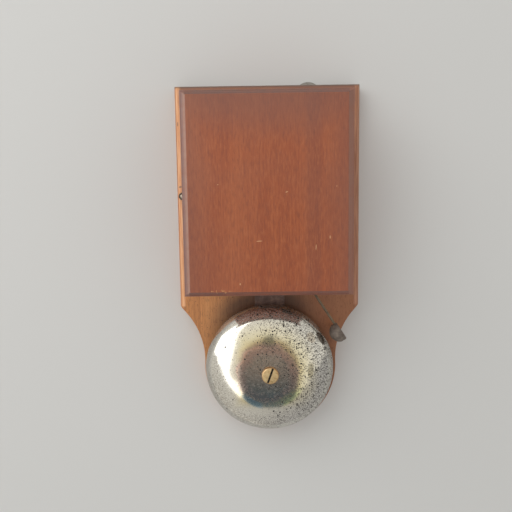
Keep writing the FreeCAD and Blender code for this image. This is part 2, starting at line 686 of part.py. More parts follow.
def make_gong():
    """Spun gong: a shallow crown and a rounder shoulder, with its rim at z = 0 of its own sketch."""
    body = doc.addObject("PartDesign::Body", "Gong")
    sketch = body_sketch(body, "XZ_Plane", "GongProfile")
    crown = value("dims.gong_crown_radius")
    shoulder = value("dims.gong_shoulder_radius")
    wall = value("dims.gong_wall")
    rim = Vector(value("dims.gong_diameter / 2"), 0, 0)
    hole = value("dims.gong_hole_radius")
    crown_centre = Vector(0, value("dims.gong_height") - crown, 0)
    # the shoulder's centre is a shoulder radius from the rim and inside the crown's circle by the same
    span = rim - crown_centre
    apart = crown - shoulder
    along = (apart ** 2 - shoulder ** 2 + span.Length ** 2) / (2 * span.Length)
    across = math.sqrt(apart ** 2 - along ** 2)
    forward = Vector(span).normalize()
    inward = Vector(-forward.y, forward.x, 0)
    shoulder_centre = crown_centre + forward * along + inward * across
    tangent = math.atan2(shoulder_centre.y - crown_centre.y, shoulder_centre.x)
    up = Vector(0, 0, 1)

    def circle(centre, radius):
        return Part.Circle(centre, up, radius)

    def top_angle(radius):
        return math.acos(hole / radius)

    def rim_angle(radius):
        return math.asin(-shoulder_centre.y / radius)

    crown_in = crown - wall
    shoulder_in = shoulder - wall
    outer_top = Vector(hole, crown_centre.y + crown * math.sin(top_angle(crown)), 0)
    inner_top = Vector(hole, crown_centre.y + crown_in * math.sin(top_angle(crown_in)), 0)
    inner_rim = Vector(shoulder_centre.x + shoulder_in * math.cos(rim_angle(shoulder_in)), 0, 0)
    sketch.addGeometry([
        Part.ArcOfCircle(circle(crown_centre, crown), tangent, top_angle(crown)),
        Part.ArcOfCircle(circle(shoulder_centre, shoulder), rim_angle(shoulder), tangent),
        Part.LineSegment(inner_rim, rim),
        Part.ArcOfCircle(circle(shoulder_centre, shoulder_in), rim_angle(shoulder_in), tangent),
        Part.ArcOfCircle(circle(crown_centre, crown_in), tangent, top_angle(crown_in)),
        Part.LineSegment(inner_top, outer_top),
    ], False)
    CROWN, SHOULDER_ARC, RIM, SHOULDER_IN, CROWN_IN, HOLE = range(6)
    add = sketch.addConstraint
    add(Sketcher.Constraint("Tangent", CROWN, 1, SHOULDER_ARC, 2))
    add(Sketcher.Constraint("Coincident", SHOULDER_ARC, 1, RIM, 2))
    add(Sketcher.Constraint("Coincident", RIM, 1, SHOULDER_IN, 1))
    add(Sketcher.Constraint("Coincident", SHOULDER_IN, 2, CROWN_IN, 1))
    add(Sketcher.Constraint("Coincident", CROWN_IN, 2, HOLE, 1))
    add(Sketcher.Constraint("Coincident", HOLE, 2, CROWN, 2))
    add(Sketcher.Constraint("Coincident", CROWN, 3, CROWN_IN, 3))
    add(Sketcher.Constraint("Coincident", SHOULDER_ARC, 3, SHOULDER_IN, 3))
    add(Sketcher.Constraint("PointOnObject", CROWN, 3, -2))
    add(Sketcher.Constraint("PointOnObject", RIM, 1, -1))
    add(Sketcher.Constraint("PointOnObject", RIM, 2, -1))
    add(Sketcher.Constraint("Vertical", HOLE))
    dimension(sketch, "DistanceX", (-1, 1, RIM, 2), "dims.gong_diameter / 2")
    dimension(sketch, "DistanceX", (-1, 1, HOLE, 1), "dims.gong_hole_radius")
    dimension(sketch, "DistanceY", (-1, 1, CROWN, 3), "dims.gong_height - dims.gong_crown_radius")
    dimension(sketch, "Radius", (CROWN,), "dims.gong_crown_radius")
    dimension(sketch, "Radius", (SHOULDER_ARC,), "dims.gong_shoulder_radius")
    dimension(sketch, "Radius", (SHOULDER_IN,), "dims.gong_shoulder_radius - dims.gong_wall")
    spin = body.newObject("PartDesign::Revolution", "GongSpin")
    spin.Profile = sketch
    spin.ReferenceAxis = (sketch, ["V_Axis"])
    place(body, GONG_X, GONG_Y, RIM_Z)
    named(body, "gong")


WASHER_SAG = 0.16                       # the crown's underside drops this far over the washer's radius
SLOT_TURN = 70.0                        # the slot of the gong screw leans to the right at its top
WASHER_TOP = total(APEX_Z, "-dims.gong_wall", -WASHER_SAG)
PILLAR_TOP = total(WASHER_TOP, "-dims.gong_washer_thickness")


def make_gong_mounting():
    """Pillar riveted through the tongue, washer under the gong and brass screw on top."""
    pillar = turned([
        ("0", minus("dims.frame_thickness")),
        ("dims.gong_tenon_radius", minus("dims.frame_thickness")),
        ("dims.gong_tenon_radius", "0"),
        ("dims.gong_pillar_flange", "0"),
        ("dims.gong_pillar_flange", "2"),
        ("dims.gong_pillar_radius", "3.5"),
        ("dims.gong_pillar_radius", total(PILLAR_TOP, minus(FRAME_Z))),
        ("0", total(PILLAR_TOP, minus(FRAME_Z))),
    ])
    place(pillar, GONG_X, GONG_Y, FRAME_Z)
    bore = cylinder((GONG_X, GONG_Y, total(PILLAR_TOP, "-dims.gong_screw_length - dims.screw_clearance")),
                    "dims.gong_screw_shank + dims.running_clearance", "dims.gong_screw_length + 2")
    named(cut(pillar, bore), "gong_pillar")

    ring = cylinder((GONG_X, GONG_Y, PILLAR_TOP), "dims.gong_pillar_radius", "dims.gong_washer_thickness")
    through = cylinder((GONG_X, GONG_Y, total(PILLAR_TOP, "-1")),
                       "dims.gong_screw_shank + dims.screw_clearance", "dims.gong_washer_thickness + 2")
    named(cut(ring, through), "gong_washer")

    shank_foot = total(PILLAR_TOP, minus(APEX_Z), "-dims.gong_screw_length")
    screw = turned([
        ("0", shank_foot),
        ("dims.gong_screw_shank", shank_foot),
        ("dims.gong_screw_shank", "0"),
        ("dims.gong_screw_head_radius", "0"),
        ("dims.gong_screw_head_radius", "dims.gong_screw_head_height - 0.9"),
        ("dims.gong_screw_head_radius - 0.7", "dims.gong_screw_head_height - 0.25", "0.85"),
        ("0", "dims.gong_screw_head_height", "35"),
    ])
    rise = "dims.gong_screw_head_height"
    slot = box(("-1.2 * dims.gong_screw_head_radius", "-dims.gong_screw_slot / 2", rise + " / 2"),
               ("2.4 * dims.gong_screw_head_radius", "dims.gong_screw_slot", rise))
    head = cut(screw, slot)
    place(head, GONG_X, GONG_Y, APEX_Z, turn=Rotation(Vector(0, 0, 1), SLOT_TURN))
    named(head, "gong_screw")


# ---------------------------------------------------------------- iron base frame

FRAME_SCREWS = [
    ("-dims.frame_left + 5", "dims.frame_head - 15"),
    ("dims.frame_right - 4", "dims.frame_head - 22"),
    ("dims.frame_right - 6", "dims.frame_foot + 31"),
    (GONG_X, "dims.tongue_screw_line"),
]


def make_base_frame():
    """Flat iron plate in the case, narrowed to a tongue that runs out to the gong."""
    half = "dims.tongue_width / 2"
    foot = "dims.frame_foot"
    plate = padded([
        (half, foot),
        ("dims.frame_right", foot),
        ("dims.frame_right", "dims.frame_head - 16"),
        ("dims.frame_right - 16", "dims.frame_head"),
        ("-dims.frame_left + 12", "dims.frame_head"),
        ("-dims.frame_left", "dims.frame_head - 12"),
        ("-dims.frame_left", foot),
        (minus(half), foot),
        (minus(half), GONG_Y),
        (half, GONG_Y),
    ], "dims.frame_thickness")
    place(plate, z=FRONT)
    plate = fuse(plate, cylinder(("0", GONG_Y, FRONT), half, "dims.frame_thickness"))
    low = total(FRONT, "-1")
    tall = "dims.frame_thickness + 2"
    screw_bore = "dims.frame_screw_shank + dims.screw_clearance"
    tools = [cylinder((x, y, low), screw_bore, tall) for x, y in FRAME_SCREWS]
    tools.append(cylinder((GONG_X, GONG_Y, low), "dims.gong_tenon_radius", tall))
    tools += [cylinder((x, y, low), "dims.yoke_screw_shank", tall) for x, y in YOKE_SCREWS + POST_SCREWS]
    tools += [cylinder((x, y, low), BUSH_BORE, tall) for x, y in PILLAR_SCREWS]
    notch = "2 * (dims.terminal_flange_radius + 0.8)"
    for x in TERMINAL_XS.values():
        tools.append(box((total(x, minus(notch + " / 2")), "dims.terminal_line - dims.terminal_notch", low),
                         (notch, "dims.terminal_notch", tall)))
    named(cut(plate, *tools), "base_frame")
    named(copies(wood_screw("frame_screw"), [(x, y, FRAME_Z) for x, y in FRAME_SCREWS]), "frame_screws")


# ---------------------------------------------------------------- electromagnet

YOKE_SCREW_X = total(YOKE_LEFT, "-dims.yoke_foot / 2")
YOKE_SCREWS = [(YOKE_SCREW_X, total(COIL_MIDDLE, side + "dims.yoke_screw_spread / 2")) for side in ("-", "")]
CORE_BORE = "dims.core_screw_shank + dims.running_clearance"
SMALL_BORE = "dims.yoke_screw_shank + dims.running_clearance"
WINDING_X = total(YOKE_RIGHT, "dims.bobbin_gap", "dims.bobbin_flange")


def make_magnet():
    """Angle-iron yoke, two cores screwed to it, and their wound bobbins."""
    foot_y = total(COIL_MIDDLE, "-dims.yoke_half_length")
    length = "2 * dims.yoke_half_length"
    upright = box((YOKE_LEFT, foot_y, FRAME_Z), ("dims.yoke_thickness", length, "dims.yoke_height"))
    foot = box((total(YOKE_LEFT, "-dims.yoke_foot"), foot_y, FRAME_Z),
               ("dims.yoke_foot + 0.5", length, "dims.frame_thickness"))
    holes = [cylinder((x, y, total(FRAME_Z, "-1")), SMALL_BORE, "5") for x, y in YOKE_SCREWS]
    holes += [cylinder((total(YOKE_LEFT, "-1"), y, MAGNET_Z), CORE_BORE, "5", "+X") for y in COIL_YS]
    named(cut(fuse(upright, foot), *holes), "yoke")
    foot_top = total(FRAME_Z, "dims.frame_thickness")
    named(copies(machine_screw("yoke_screw"), [(x, y, foot_top) for x, y in YOKE_SCREWS]), "yoke_screws")
    named(copies(machine_screw("core_screw"), [(YOKE_LEFT, y, MAGNET_Z) for y in COIL_YS], turn=ALONG["-X"]),
          "core_screws")

    flange = "dims.bobbin_flange"
    far = "dims.bobbin_length"
    for name, y in zip(("lower", "upper"), COIL_YS):
        core = cylinder((YOKE_RIGHT, y, MAGNET_Z), "dims.core_radius", "dims.core_length", "+X")
        tapped = cylinder((total(YOKE_RIGHT, "-1"), y, MAGNET_Z), CORE_BORE,
                          "dims.core_screw_length - dims.yoke_thickness + 2", "+X")
        named(cut(core, tapped), "core_" + name)
        spool = turned([
            ("dims.bobbin_bore", "0"),
            ("dims.bobbin_radius", "0"),
            ("dims.bobbin_radius", flange),
            ("dims.bobbin_tube", flange),
            ("dims.bobbin_tube", total(far, minus(flange))),
            ("dims.bobbin_radius", total(far, minus(flange))),
            ("dims.bobbin_radius", far),
            ("dims.bobbin_bore", far),
        ])
        place(spool, total(YOKE_RIGHT, "dims.bobbin_gap"), y, MAGNET_Z, turn=ALONG["+X"])
        named(spool, "bobbin_" + name)
        start = (WINDING_X, y, MAGNET_Z)
        wound = "dims.bobbin_length - 2 * dims.bobbin_flange"
        coil = cylinder(start, "dims.winding_radius", wound, "+X")
        named(cut(coil, cylinder(start, "dims.bobbin_tube", wound, "+X")), "winding_" + name)


# ---------------------------------------------------------------- armature, spring and hammer

POST_LEFT = total(SPRING_LEFT, "-dims.post_thickness")
POST_SCREWS = [(total(POST_LEFT, "-dims.post_foot / 2"), total("dims.spring_clamp_line", offset))
               for offset in ("3", "10")]
SPRING_LOW = total(MAGNET_Z, "-dims.spring_width / 2")
RIVET_YS = ["dims.spring_foot + 5", "dims.spring_foot + 17"]
CLAMP_SCREW_YS = ["dims.spring_clamp_line + %g * dims.spring_grip" % share for share in (0.25, 0.75)]
CLAMP_BORE = "dims.clamp_screw_shank + dims.running_clearance"
SPRING_LENGTH = total("dims.spring_clamp_line", "dims.spring_grip", "-dims.spring_foot")
CONTACT_SPRING_HEAD = "dims.spring_foot + 21"


def clamp_bores(x):
    """Bores of the two clamp screws, 5 mm along X from the given place."""
    return [cylinder((x, y, MAGNET_Z), CLAMP_BORE, "5", "+X") for y in CLAMP_SCREW_YS]


def rivet_bores(x):
    """Bores of the armature's rivets, 6 mm along X from the given place."""
    return [cylinder((x, y, MAGNET_Z), "dims.rivet_radius", "6", "+X") for y in RIVET_YS]


def make_spring_post():
    """Angle post that grips the head of the armature spring under a clamp plate."""
    grip = "dims.spring_grip"
    upright = box((POST_LEFT, "dims.spring_clamp_line", FRAME_Z),
                  ("dims.post_thickness", grip, "dims.post_height"))
    foot = box((total(POST_LEFT, "-dims.post_foot"), "dims.spring_clamp_line", FRAME_Z),
               ("dims.post_foot + 0.5", grip, "dims.frame_thickness"))
    holes = [cylinder((x, y, total(FRAME_Z, "-1")), SMALL_BORE, "5") for x, y in POST_SCREWS]
    holes += clamp_bores(total(SPRING_LEFT, "-4"))
    named(cut(fuse(upright, foot), *holes), "spring_post")
    named(copies(machine_screw("post_screw"),
                 [(x, y, total(FRAME_Z, "dims.frame_thickness")) for x, y in POST_SCREWS]), "post_screws")
    plate = box((SPRING_RIGHT, "dims.spring_clamp_line", total(SPRING_LOW, "-0.5")),
                ("dims.clamp_plate", grip, "dims.spring_width + 1"))
    named(cut(plate, *clamp_bores(total(SPRING_RIGHT, "-1"))), "spring_clamp")
    head_x = total(SPRING_RIGHT, "dims.clamp_plate")
    named(copies(machine_screw("clamp_screw"), [(head_x, y, MAGNET_Z) for y in CLAMP_SCREW_YS],
                 turn=ALONG["+X"]), "clamp_screws")


def make_armature():
    """Soft-iron bar on a leaf spring, with the contact spring riveted behind it."""
    low = total(MAGNET_Z, "-dims.armature_width / 2")
    bar = box((ARMATURE_LEFT, "dims.armature_foot", low),
              ("dims.armature_thickness", "dims.armature_length", "dims.armature_width"))
    socket = cylinder(("dims.armature_line", total("dims.armature_foot", "-1"), ROD_Z),
                      "dims.rod_radius + 0.01", "dims.rod_socket + 0.5", "+Y")
    named(cut(bar, socket, *rivet_bores(total(ARMATURE_LEFT, "-1"))), "armature")

    spring = box((SPRING_LEFT, "dims.spring_foot", SPRING_LOW),
                 ("dims.spring_thickness", SPRING_LENGTH, "dims.spring_width"))
    holes = rivet_bores(total(SPRING_LEFT, "-1")) + clamp_bores(total(SPRING_LEFT, "-1"))
    named(cut(spring, *holes), "armature_spring")

    # the contact spring lies on the armature spring at the rivets and bows away from it below them
    thin = "dims.contact_spring_thickness"
    left = SPRING_RIGHT
    bow = "dims.contact_spring_bow"
    strip = padded([
        (left, CONTACT_SPRING_HEAD),
        (left, "dims.spring_foot + 1"),
        (total(left, bow), "dims.contact_line + 4"),
        (total(left, bow), "dims.contact_line - 3"),
        (total(left, bow, thin), "dims.contact_line - 3"),
        (total(left, bow, thin), "dims.contact_line + 4.05"),
        (total(left, thin), "dims.spring_foot + 1.05"),
        (total(left, thin), CONTACT_SPRING_HEAD),
    ], "dims.contact_spring_width")
    place(strip, z=total(MAGNET_Z, "-dims.contact_spring_width / 2"))
    named(cut(strip, *rivet_bores(total(left, "-1"))), "contact_spring")
    named(cylinder((total(left, bow, thin), "dims.contact_line", MAGNET_Z), "dims.contact_disc_radius",
                   "dims.contact_disc_thickness", "+X"), "contact_disc")

    rivets = []
    for y in RIVET_YS:
        shank = cylinder((total(ARMATURE_LEFT, "0.4"), y, MAGNET_Z), "dims.rivet_radius",
                         total("dims.armature_thickness", "dims.spring_thickness", thin, "-0.3"), "+X")
        head = cylinder((total(left, thin), y, MAGNET_Z), "dims.rivet_head", "0.6", "+X")
        rivets.append(fuse(shank, head))
    named(group(*rivets), "armature_rivets")


ROD_SLOPE = 0.6445                      # sideways run of the slanting part for each millimetre down
ROD_KNEE = 0.92                         # the knee's place between the hammer and the first bend


def make_hammer():
    """Wire rod bent below the armature, and a domed hammer across its end."""
    slant = Vector(ROD_SLOPE, -1, 0).normalize()
    across = Vector(-slant.y, slant.x, 0)
    aim = Vector(-across.x, -across.y, 0)
    bend_x = "dims.armature_line"
    top = total("dims.armature_foot", "dims.rod_socket", "-0.5")
    base = Vector(value("dims.hammer_shift"), value("dims.hammer_line"), 0)
    through = base + aim * value("dims.hammer_back")
    tail = through + slant * (value("dims.hammer_radius") + 0.2)
    kink = Vector(value(bend_x), value("dims.rod_bend_line"), 0)
    knee = through - slant * (through - kink).Length * ROD_KNEE
    shape = wire([
        (bend_x, top, ROD_Z),
        (bend_x, "dims.rod_bend_line", ROD_Z),
        (str(knee.x), str(knee.y), ROD_Z),
        (str(tail.x), str(tail.y), ROD_Z),
    ], value("dims.rod_radius"), value("dims.rod_bend_radius"))
    named(shape, "hammer_rod")

    head = turned([
        ("0", "0"),
        ("dims.hammer_radius - 0.4", "0"),
        ("dims.hammer_radius", "0.4"),
        ("dims.hammer_radius", "dims.hammer_straight"),
        ("0", "dims.hammer_depth", HAMMER_DOME),
    ])
    turn = Rotation(Vector(0, 0, 1), aim)
    place(head, str(base.x), str(base.y), ROD_Z, turn=turn)
    start = through - slant * value("1.5 * dims.hammer_radius")
    hole = cylinder((str(start.x), str(start.y), ROD_Z), "dims.rod_radius + 0.01", "3 * dims.hammer_radius",
                    Rotation(Vector(0, 0, 1), slant))
    named(cut(head, hole), "hammer_head")


HAMMER_RISE = "(dims.hammer_depth - dims.hammer_straight)"
HAMMER_DOME = "(dims.hammer_radius ^ 2 + %s ^ 2) / (2 * %s)" % (HAMMER_RISE, HAMMER_RISE)


# ---------------------------------------------------------------- contact screw and its pillar

DISC_FACE = total(SPRING_RIGHT, "dims.contact_spring_bow", "dims.contact_spring_thickness",
                  "dims.contact_disc_thickness")
TIP_X = total(DISC_FACE, "dims.contact_gap")
CONTACT_SCREW_X = total(TIP_X, "dims.contact_tip_length")
PILLAR_X = total(CONTACT_SCREW_X, "dims.contact_pillar_setback")
PILLAR_RIGHT = total(PILLAR_X, "dims.contact_pillar_depth")
PILLAR_LOW = total("dims.contact_line", "-dims.contact_pillar_width / 2")
PILLAR_MIDDLE = total(PILLAR_X, "dims.contact_pillar_depth / 2")
PILLAR_HIGH = total(PILLAR_LOW, "dims.contact_pillar_width")
PILLAR_SCREWS = [(PILLAR_MIDDLE, total(PILLAR_LOW, "-dims.contact_pillar_foot / 2")),
                 (PILLAR_MIDDLE, total(PILLAR_HIGH, "dims.contact_pillar_foot / 2"))]
PILLAR_Z = total(FRAME_Z, "dims.insulator_thickness")
BUSH_BORE = "dims.bush_radius + dims.running_clearance"
THREAD_BORE = "dims.contact_screw_radius + dims.running_clearance"


def make_contact():
    """Brass pillar on an insulating sheet, with the contact screw and its lock nut."""
    depth = "dims.contact_pillar_depth"
    foot_low = total(PILLAR_LOW, "-dims.contact_pillar_foot")
    foot_length = "dims.contact_pillar_width + 2 * dims.contact_pillar_foot"
    foot = box((PILLAR_X, foot_low, PILLAR_Z), (depth, foot_length, "dims.contact_foot_thickness"))
    rise = total(MAGNET_Z, "dims.contact_pillar_rise", minus(PILLAR_Z))
    upright = box((PILLAR_X, PILLAR_LOW, PILLAR_Z), (depth, "dims.contact_pillar_width", rise))
    holes = [cylinder((x, y, total(PILLAR_Z, "-1")), BUSH_BORE, "4") for x, y in PILLAR_SCREWS]
    holes.append(cylinder((total(PILLAR_X, "-1"), "dims.contact_line", MAGNET_Z), THREAD_BORE,
                          "dims.contact_pillar_depth + 2", "+X"))
    named(cut(fuse(foot, upright), *holes), "contact_pillar")

    margin = "dims.insulator_margin"
    both = "2 * " + margin
    sheet_piece = box((total(PILLAR_X, minus(margin)), total(foot_low, minus(margin)), FRAME_Z),
                      (total(depth, both), total(foot_length, both), "dims.insulator_thickness"))
    holes = [cylinder((x, y, total(FRAME_Z, "-1")), BUSH_BORE, "4") for x, y in PILLAR_SCREWS]
    named(cut(sheet_piece, *holes), "pillar_insulator")

    bushes = []
    for x, y in PILLAR_SCREWS:
        stem = total("dims.frame_thickness", "dims.insulator_thickness", "dims.contact_foot_thickness")
        tube = cylinder((x, y, FRONT), "dims.bush_radius", stem)
        rim = total(FRONT, stem)
        collar = cylinder((x, y, rim), "dims.bush_collar_radius", "dims.bush_collar_thickness")
        bore = cylinder((x, y, total(FRONT, "-1")), "dims.pillar_screw_shank + 0.1", total(stem, "4"))
        bushes.append(cut(fuse(tube, collar), bore))
    named(group(*bushes), "pillar_bushes")
    seat = total(PILLAR_Z, "dims.contact_foot_thickness", "dims.bush_collar_thickness")
    named(copies(wood_screw("pillar_screw"), [(x, y, seat) for x, y in PILLAR_SCREWS]), "pillar_screws")

    nut = turned([
        (THREAD_BORE, "0"),
        ("dims.lock_nut_radius - 0.3", "0"),
        ("dims.lock_nut_radius", "0.3"),
        ("dims.lock_nut_radius", "dims.lock_nut_thickness - 0.3"),
        ("dims.lock_nut_radius - 0.3", "dims.lock_nut_thickness"),
        (THREAD_BORE, "dims.lock_nut_thickness"),
    ])
    nut_seat = total(PILLAR_RIGHT, "dims.running_clearance")
    place(nut, nut_seat, "dims.contact_line", MAGNET_Z, turn=ALONG["+X"])
    named(nut, "lock_nut")

    shaft = turned([
        ("0", "0"),
        ("dims.contact_screw_radius - 0.5", "0"),
        ("dims.contact_screw_radius", "0.5"),
        ("dims.contact_screw_radius", "dims.contact_screw_length - 0.3"),
        ("dims.contact_screw_radius - 0.3", "dims.contact_screw_length"),
        ("0", "dims.contact_screw_length"),
    ])
    slot = box(("-2", "-0.3", "dims.contact_screw_length - 0.8"), ("4", "0.6", "2"))
    driven = cut(shaft, slot)
    place(driven, CONTACT_SCREW_X, "dims.contact_line", MAGNET_Z, turn=ALONG["+X"])
    named(driven, "contact_screw")
    named(cylinder((TIP_X, "dims.contact_line", MAGNET_Z), "dims.contact_tip_radius",
                   "dims.contact_tip_length", "+X"), "contact_tip")


# ---------------------------------------------------------------- terminals and wires

TERMINAL_XS = {"left": "dims.terminal_left", "right": "dims.terminal_right"}


def make_terminals():
    """Two brass terminals on the board, each a stud, a washer and a knurled nut."""
    washers = []
    for side, x in TERMINAL_XS.items():
        post = turned([
            ("0", "-dims.terminal_spike"),
            ("dims.terminal_radius * 0.6", "-dims.terminal_spike * 0.75"),
            ("dims.terminal_radius * 0.8", "0"),
            ("dims.terminal_flange_radius", "0"),
            ("dims.terminal_flange_radius", "dims.terminal_flange_height"),
            ("dims.terminal_radius", "dims.terminal_flange_height"),
            ("dims.terminal_radius", "dims.terminal_height - 0.4"),
            ("dims.terminal_radius - 0.4", "dims.terminal_height"),
            ("0", "dims.terminal_height"),
        ])
        place(post, x, "dims.terminal_line", FRONT)
        named(post, "terminal_post_" + side)
        seat = total(FRONT, "dims.terminal_flange_height")
        ring = cylinder((x, "dims.terminal_line", seat), "dims.terminal_flange_radius - 0.2",
                        "dims.terminal_washer")
        bore = cylinder((x, "dims.terminal_line", total(seat, "-1")), "dims.terminal_radius + 0.15", "3")
        washers.append(cut(ring, bore))
        bore_radius = "dims.terminal_radius + dims.running_clearance"
        nut = turned([
            (bore_radius, "0"),
            ("dims.terminal_nut_radius - 1.2", "0"),
            ("dims.terminal_nut_radius - 1.2", "1"),
            ("dims.terminal_nut_radius - 0.3", "1"),
            ("dims.terminal_nut_radius", "1.3"),
            ("dims.terminal_nut_radius", "dims.terminal_nut_height - 0.4"),
            ("dims.terminal_nut_radius - 0.4", "dims.terminal_nut_height"),
            (bore_radius, "dims.terminal_nut_height"),
        ])
        place(nut, x, "dims.terminal_line", total(seat, "dims.terminal_washer + dims.running_clearance"))
        named(nut, "terminal_nut_" + side)
    named(group(*washers), "terminal_washers")


def make_wires():
    """Cotton-covered leads between the terminals, the coils, the frame and the contact pillar."""
    radius = value("dims.wire_radius")
    lead = total(FRONT, "1.5")
    link_x = total(YOKE_RIGHT, "dims.bobbin_length", "-4.8")
    coil_top = total(MAGNET_Z, "dims.bobbin_radius", "1.4")
    upper_y = COIL_YS[1]
    lower_y = COIL_YS[0]
    near = total(YOKE_RIGHT, "4")
    named(wire([
        (TERMINAL_XS["left"], total("dims.terminal_line", "-dims.terminal_flange_radius", "-0.01"), lead),
        (TERMINAL_XS["left"], "dims.terminal_line - 10.5", lead),
        (TERMINAL_XS["left"], "dims.terminal_line - 16", total(lead, "8")),
        (near, total(upper_y, "13.5"), total(lead, "16")),
        (near, total(upper_y, "4"), coil_top),
        (near, total(upper_y, "-0.5"), total(MAGNET_Z, "dims.winding_radius")),
    ], radius, 2.4), "wire_terminal_coil")
    named(wire([
        (link_x, total(upper_y, "-2"), total(MAGNET_Z, "dims.winding_radius", "0.1")),
        (link_x, total(upper_y, "-7"), coil_top),
        (link_x, total(lower_y, "7"), coil_top),
        (link_x, total(lower_y, "2"), total(MAGNET_Z, "dims.winding_radius", "0.1")),
    ], radius, 2.4), "wire_coil_link")
    named(wire([
        (near, total(lower_y, "0.5"), total(MAGNET_Z, "dims.winding_radius")),
        (near, total(lower_y, "-5"), coil_top),
        (near, total(lower_y, "-11.6"), total(coil_top, "-5")),
        (near, total(lower_y, "-12"), total(MAGNET_Z, "-4")),
        (near, total(lower_y, "-11.4"), FRAME_Z),
    ], radius, 2.2), "wire_coil_frame")
    named(wire([
        (PILLAR_MIDDLE, total(PILLAR_LOW, "dims.contact_pillar_width"), total(PILLAR_Z, "6.5")),
        (PILLAR_MIDDLE, total(PILLAR_LOW, "dims.contact_pillar_width + 8"), total(PILLAR_Z, "7")),
        (total(PILLAR_MIDDLE, "1.5"), "46", total(PILLAR_Z, "5.5")),
        (total(PILLAR_MIDDLE, "-1.5"), "64", total(PILLAR_Z, "5")),
        (total(TERMINAL_XS["right"], "9"), "dims.terminal_line - 2", total(FRONT, "1.8")),
        (total(TERMINAL_XS["right"], "dims.terminal_flange_radius", "0.01"), "dims.terminal_line",
         total(FRONT, "1.6")),
    ], radius, 2.2), "wire_contact_terminal")


# ---------------------------------------------------------------- cover

def finger_boxes(first, left, foot, count):
    """Every second finger of a comb joint, as blocks a wall thick and wide."""
    blocks = []
    for index in range(count):
        if index % 2 == first:
            blocks.append(box((left, foot, total(FRONT, "%d * dims.joint_finger" % index)),
                              ("dims.cover_wall", "dims.cover_wall", "dims.joint_finger")))
    return blocks


def make_cover():
    """Box with comb-jointed corners and a moulded front, notched for the tongue and the rod."""
    wall = "dims.cover_wall"
    tall = "dims.cover_wall_height"
    right = total(CASE_LEFT, CASE_WIDTH, "-dims.cover_wall")
    top = total(CASE_TOP, "-dims.cover_wall")
    corners = [(CASE_LEFT, CASE_FOOT), (right, CASE_FOOT), (CASE_LEFT, top), (right, top)]
    fingers = 5
    for name, x, spots in (("left", CASE_LEFT, (0, 2)), ("right", right, (1, 3))):
        slab = box((x, CASE_FOOT, FRONT), (wall, CASE_LENGTH, tall))
        tools = []
        for spot in spots:
            tools += finger_boxes(1, corners[spot][0], corners[spot][1], fingers)
        if name == "right":
            tools += [cylinder((px, py, total(FRONT, "-1")), "dims.dowel_radius + dims.running_clearance",
                               "dims.dowel_reach + 1.1") for px, py in DOWELS]
        named(cut(slab, *tools), "cover_wall_" + name)
    for name, y, spots in (("lower", CASE_FOOT, (0, 1)), ("top", top, (2, 3))):
        slab = box((CASE_LEFT, y, FRONT), (CASE_WIDTH, wall, tall))
        tools = []
        for spot in spots:
            tools += finger_boxes(0, corners[spot][0], corners[spot][1], fingers)
        if name == "lower":
            low = total(FRONT, "-1")
            front = total(CASE_FOOT, "-1")
            through = total(wall, "2")
            tools.append(box(("-dims.tongue_width / 2 - dims.tongue_gap", front, low),
                             ("dims.tongue_width + 2 * dims.tongue_gap", through,
                              "1 + dims.frame_thickness + 3 * dims.tongue_gap")))
            rod_room = "1 + dims.rod_height + dims.rod_slot_headroom"
            tools.append(box(("dims.rod_slot_left", front, low), ("dims.rod_slot_width", through, rod_room)))
        named(cut(slab, *tools), "cover_wall_" + name)

    blocks = []
    inner_left = total(CASE_LEFT, wall)
    inner_foot = total(CASE_FOOT, wall)
    size = "dims.block_size"
    deep = "dims.block_height"
    for x in (inner_left, total(right, minus(size))):
        for y in (inner_foot, total(top, minus(size))):
            blocks.append(box((x, y, total(PANEL_Z, minus(deep))), (size, size, deep)))
    named(group(*blocks), "cover_blocks")

    slab = padded(rectangle(COVER_LEFT, COVER_FOOT, "dims.cover_width", "dims.cover_length"),
                  "dims.panel_thickness - dims.panel_field_rise")
    place(slab, z=PANEL_Z)
    face = total(PANEL_Z, "dims.panel_thickness", "-dims.panel_field_rise")
    level = value(face)
    margin = round_edges(slab, value("dims.panel_edge_round"),
                         lambda middle, edge: abs(middle.z - level) < 1e-6)
    slope = "(dims.moulding_width - dims.moulding_margin)"
    end_slope = "(dims.moulding_end_width - dims.moulding_margin)"
    across = "(dims.cover_width - 2 * dims.moulding_margin)"
    lengthwise = "(dims.cover_length - 2 * dims.moulding_margin)"
    field = frustum(across, lengthwise, slope, end_slope, "dims.panel_field_rise")
    place(field, total(COVER_LEFT, "dims.moulding_margin"),
          total(COVER_FOOT, "dims.moulding_margin", lengthwise), face, turn=ALONG["-Y"])
    named(fuse(margin, field), "cover_panel")

    pins = [cylinder((x, y, total(FRONT, "-dims.dowel_depth")), "dims.dowel_radius",
                     "dims.dowel_depth + dims.dowel_reach") for x, y in DOWELS]
    named(group(*pins), "cover_dowels")


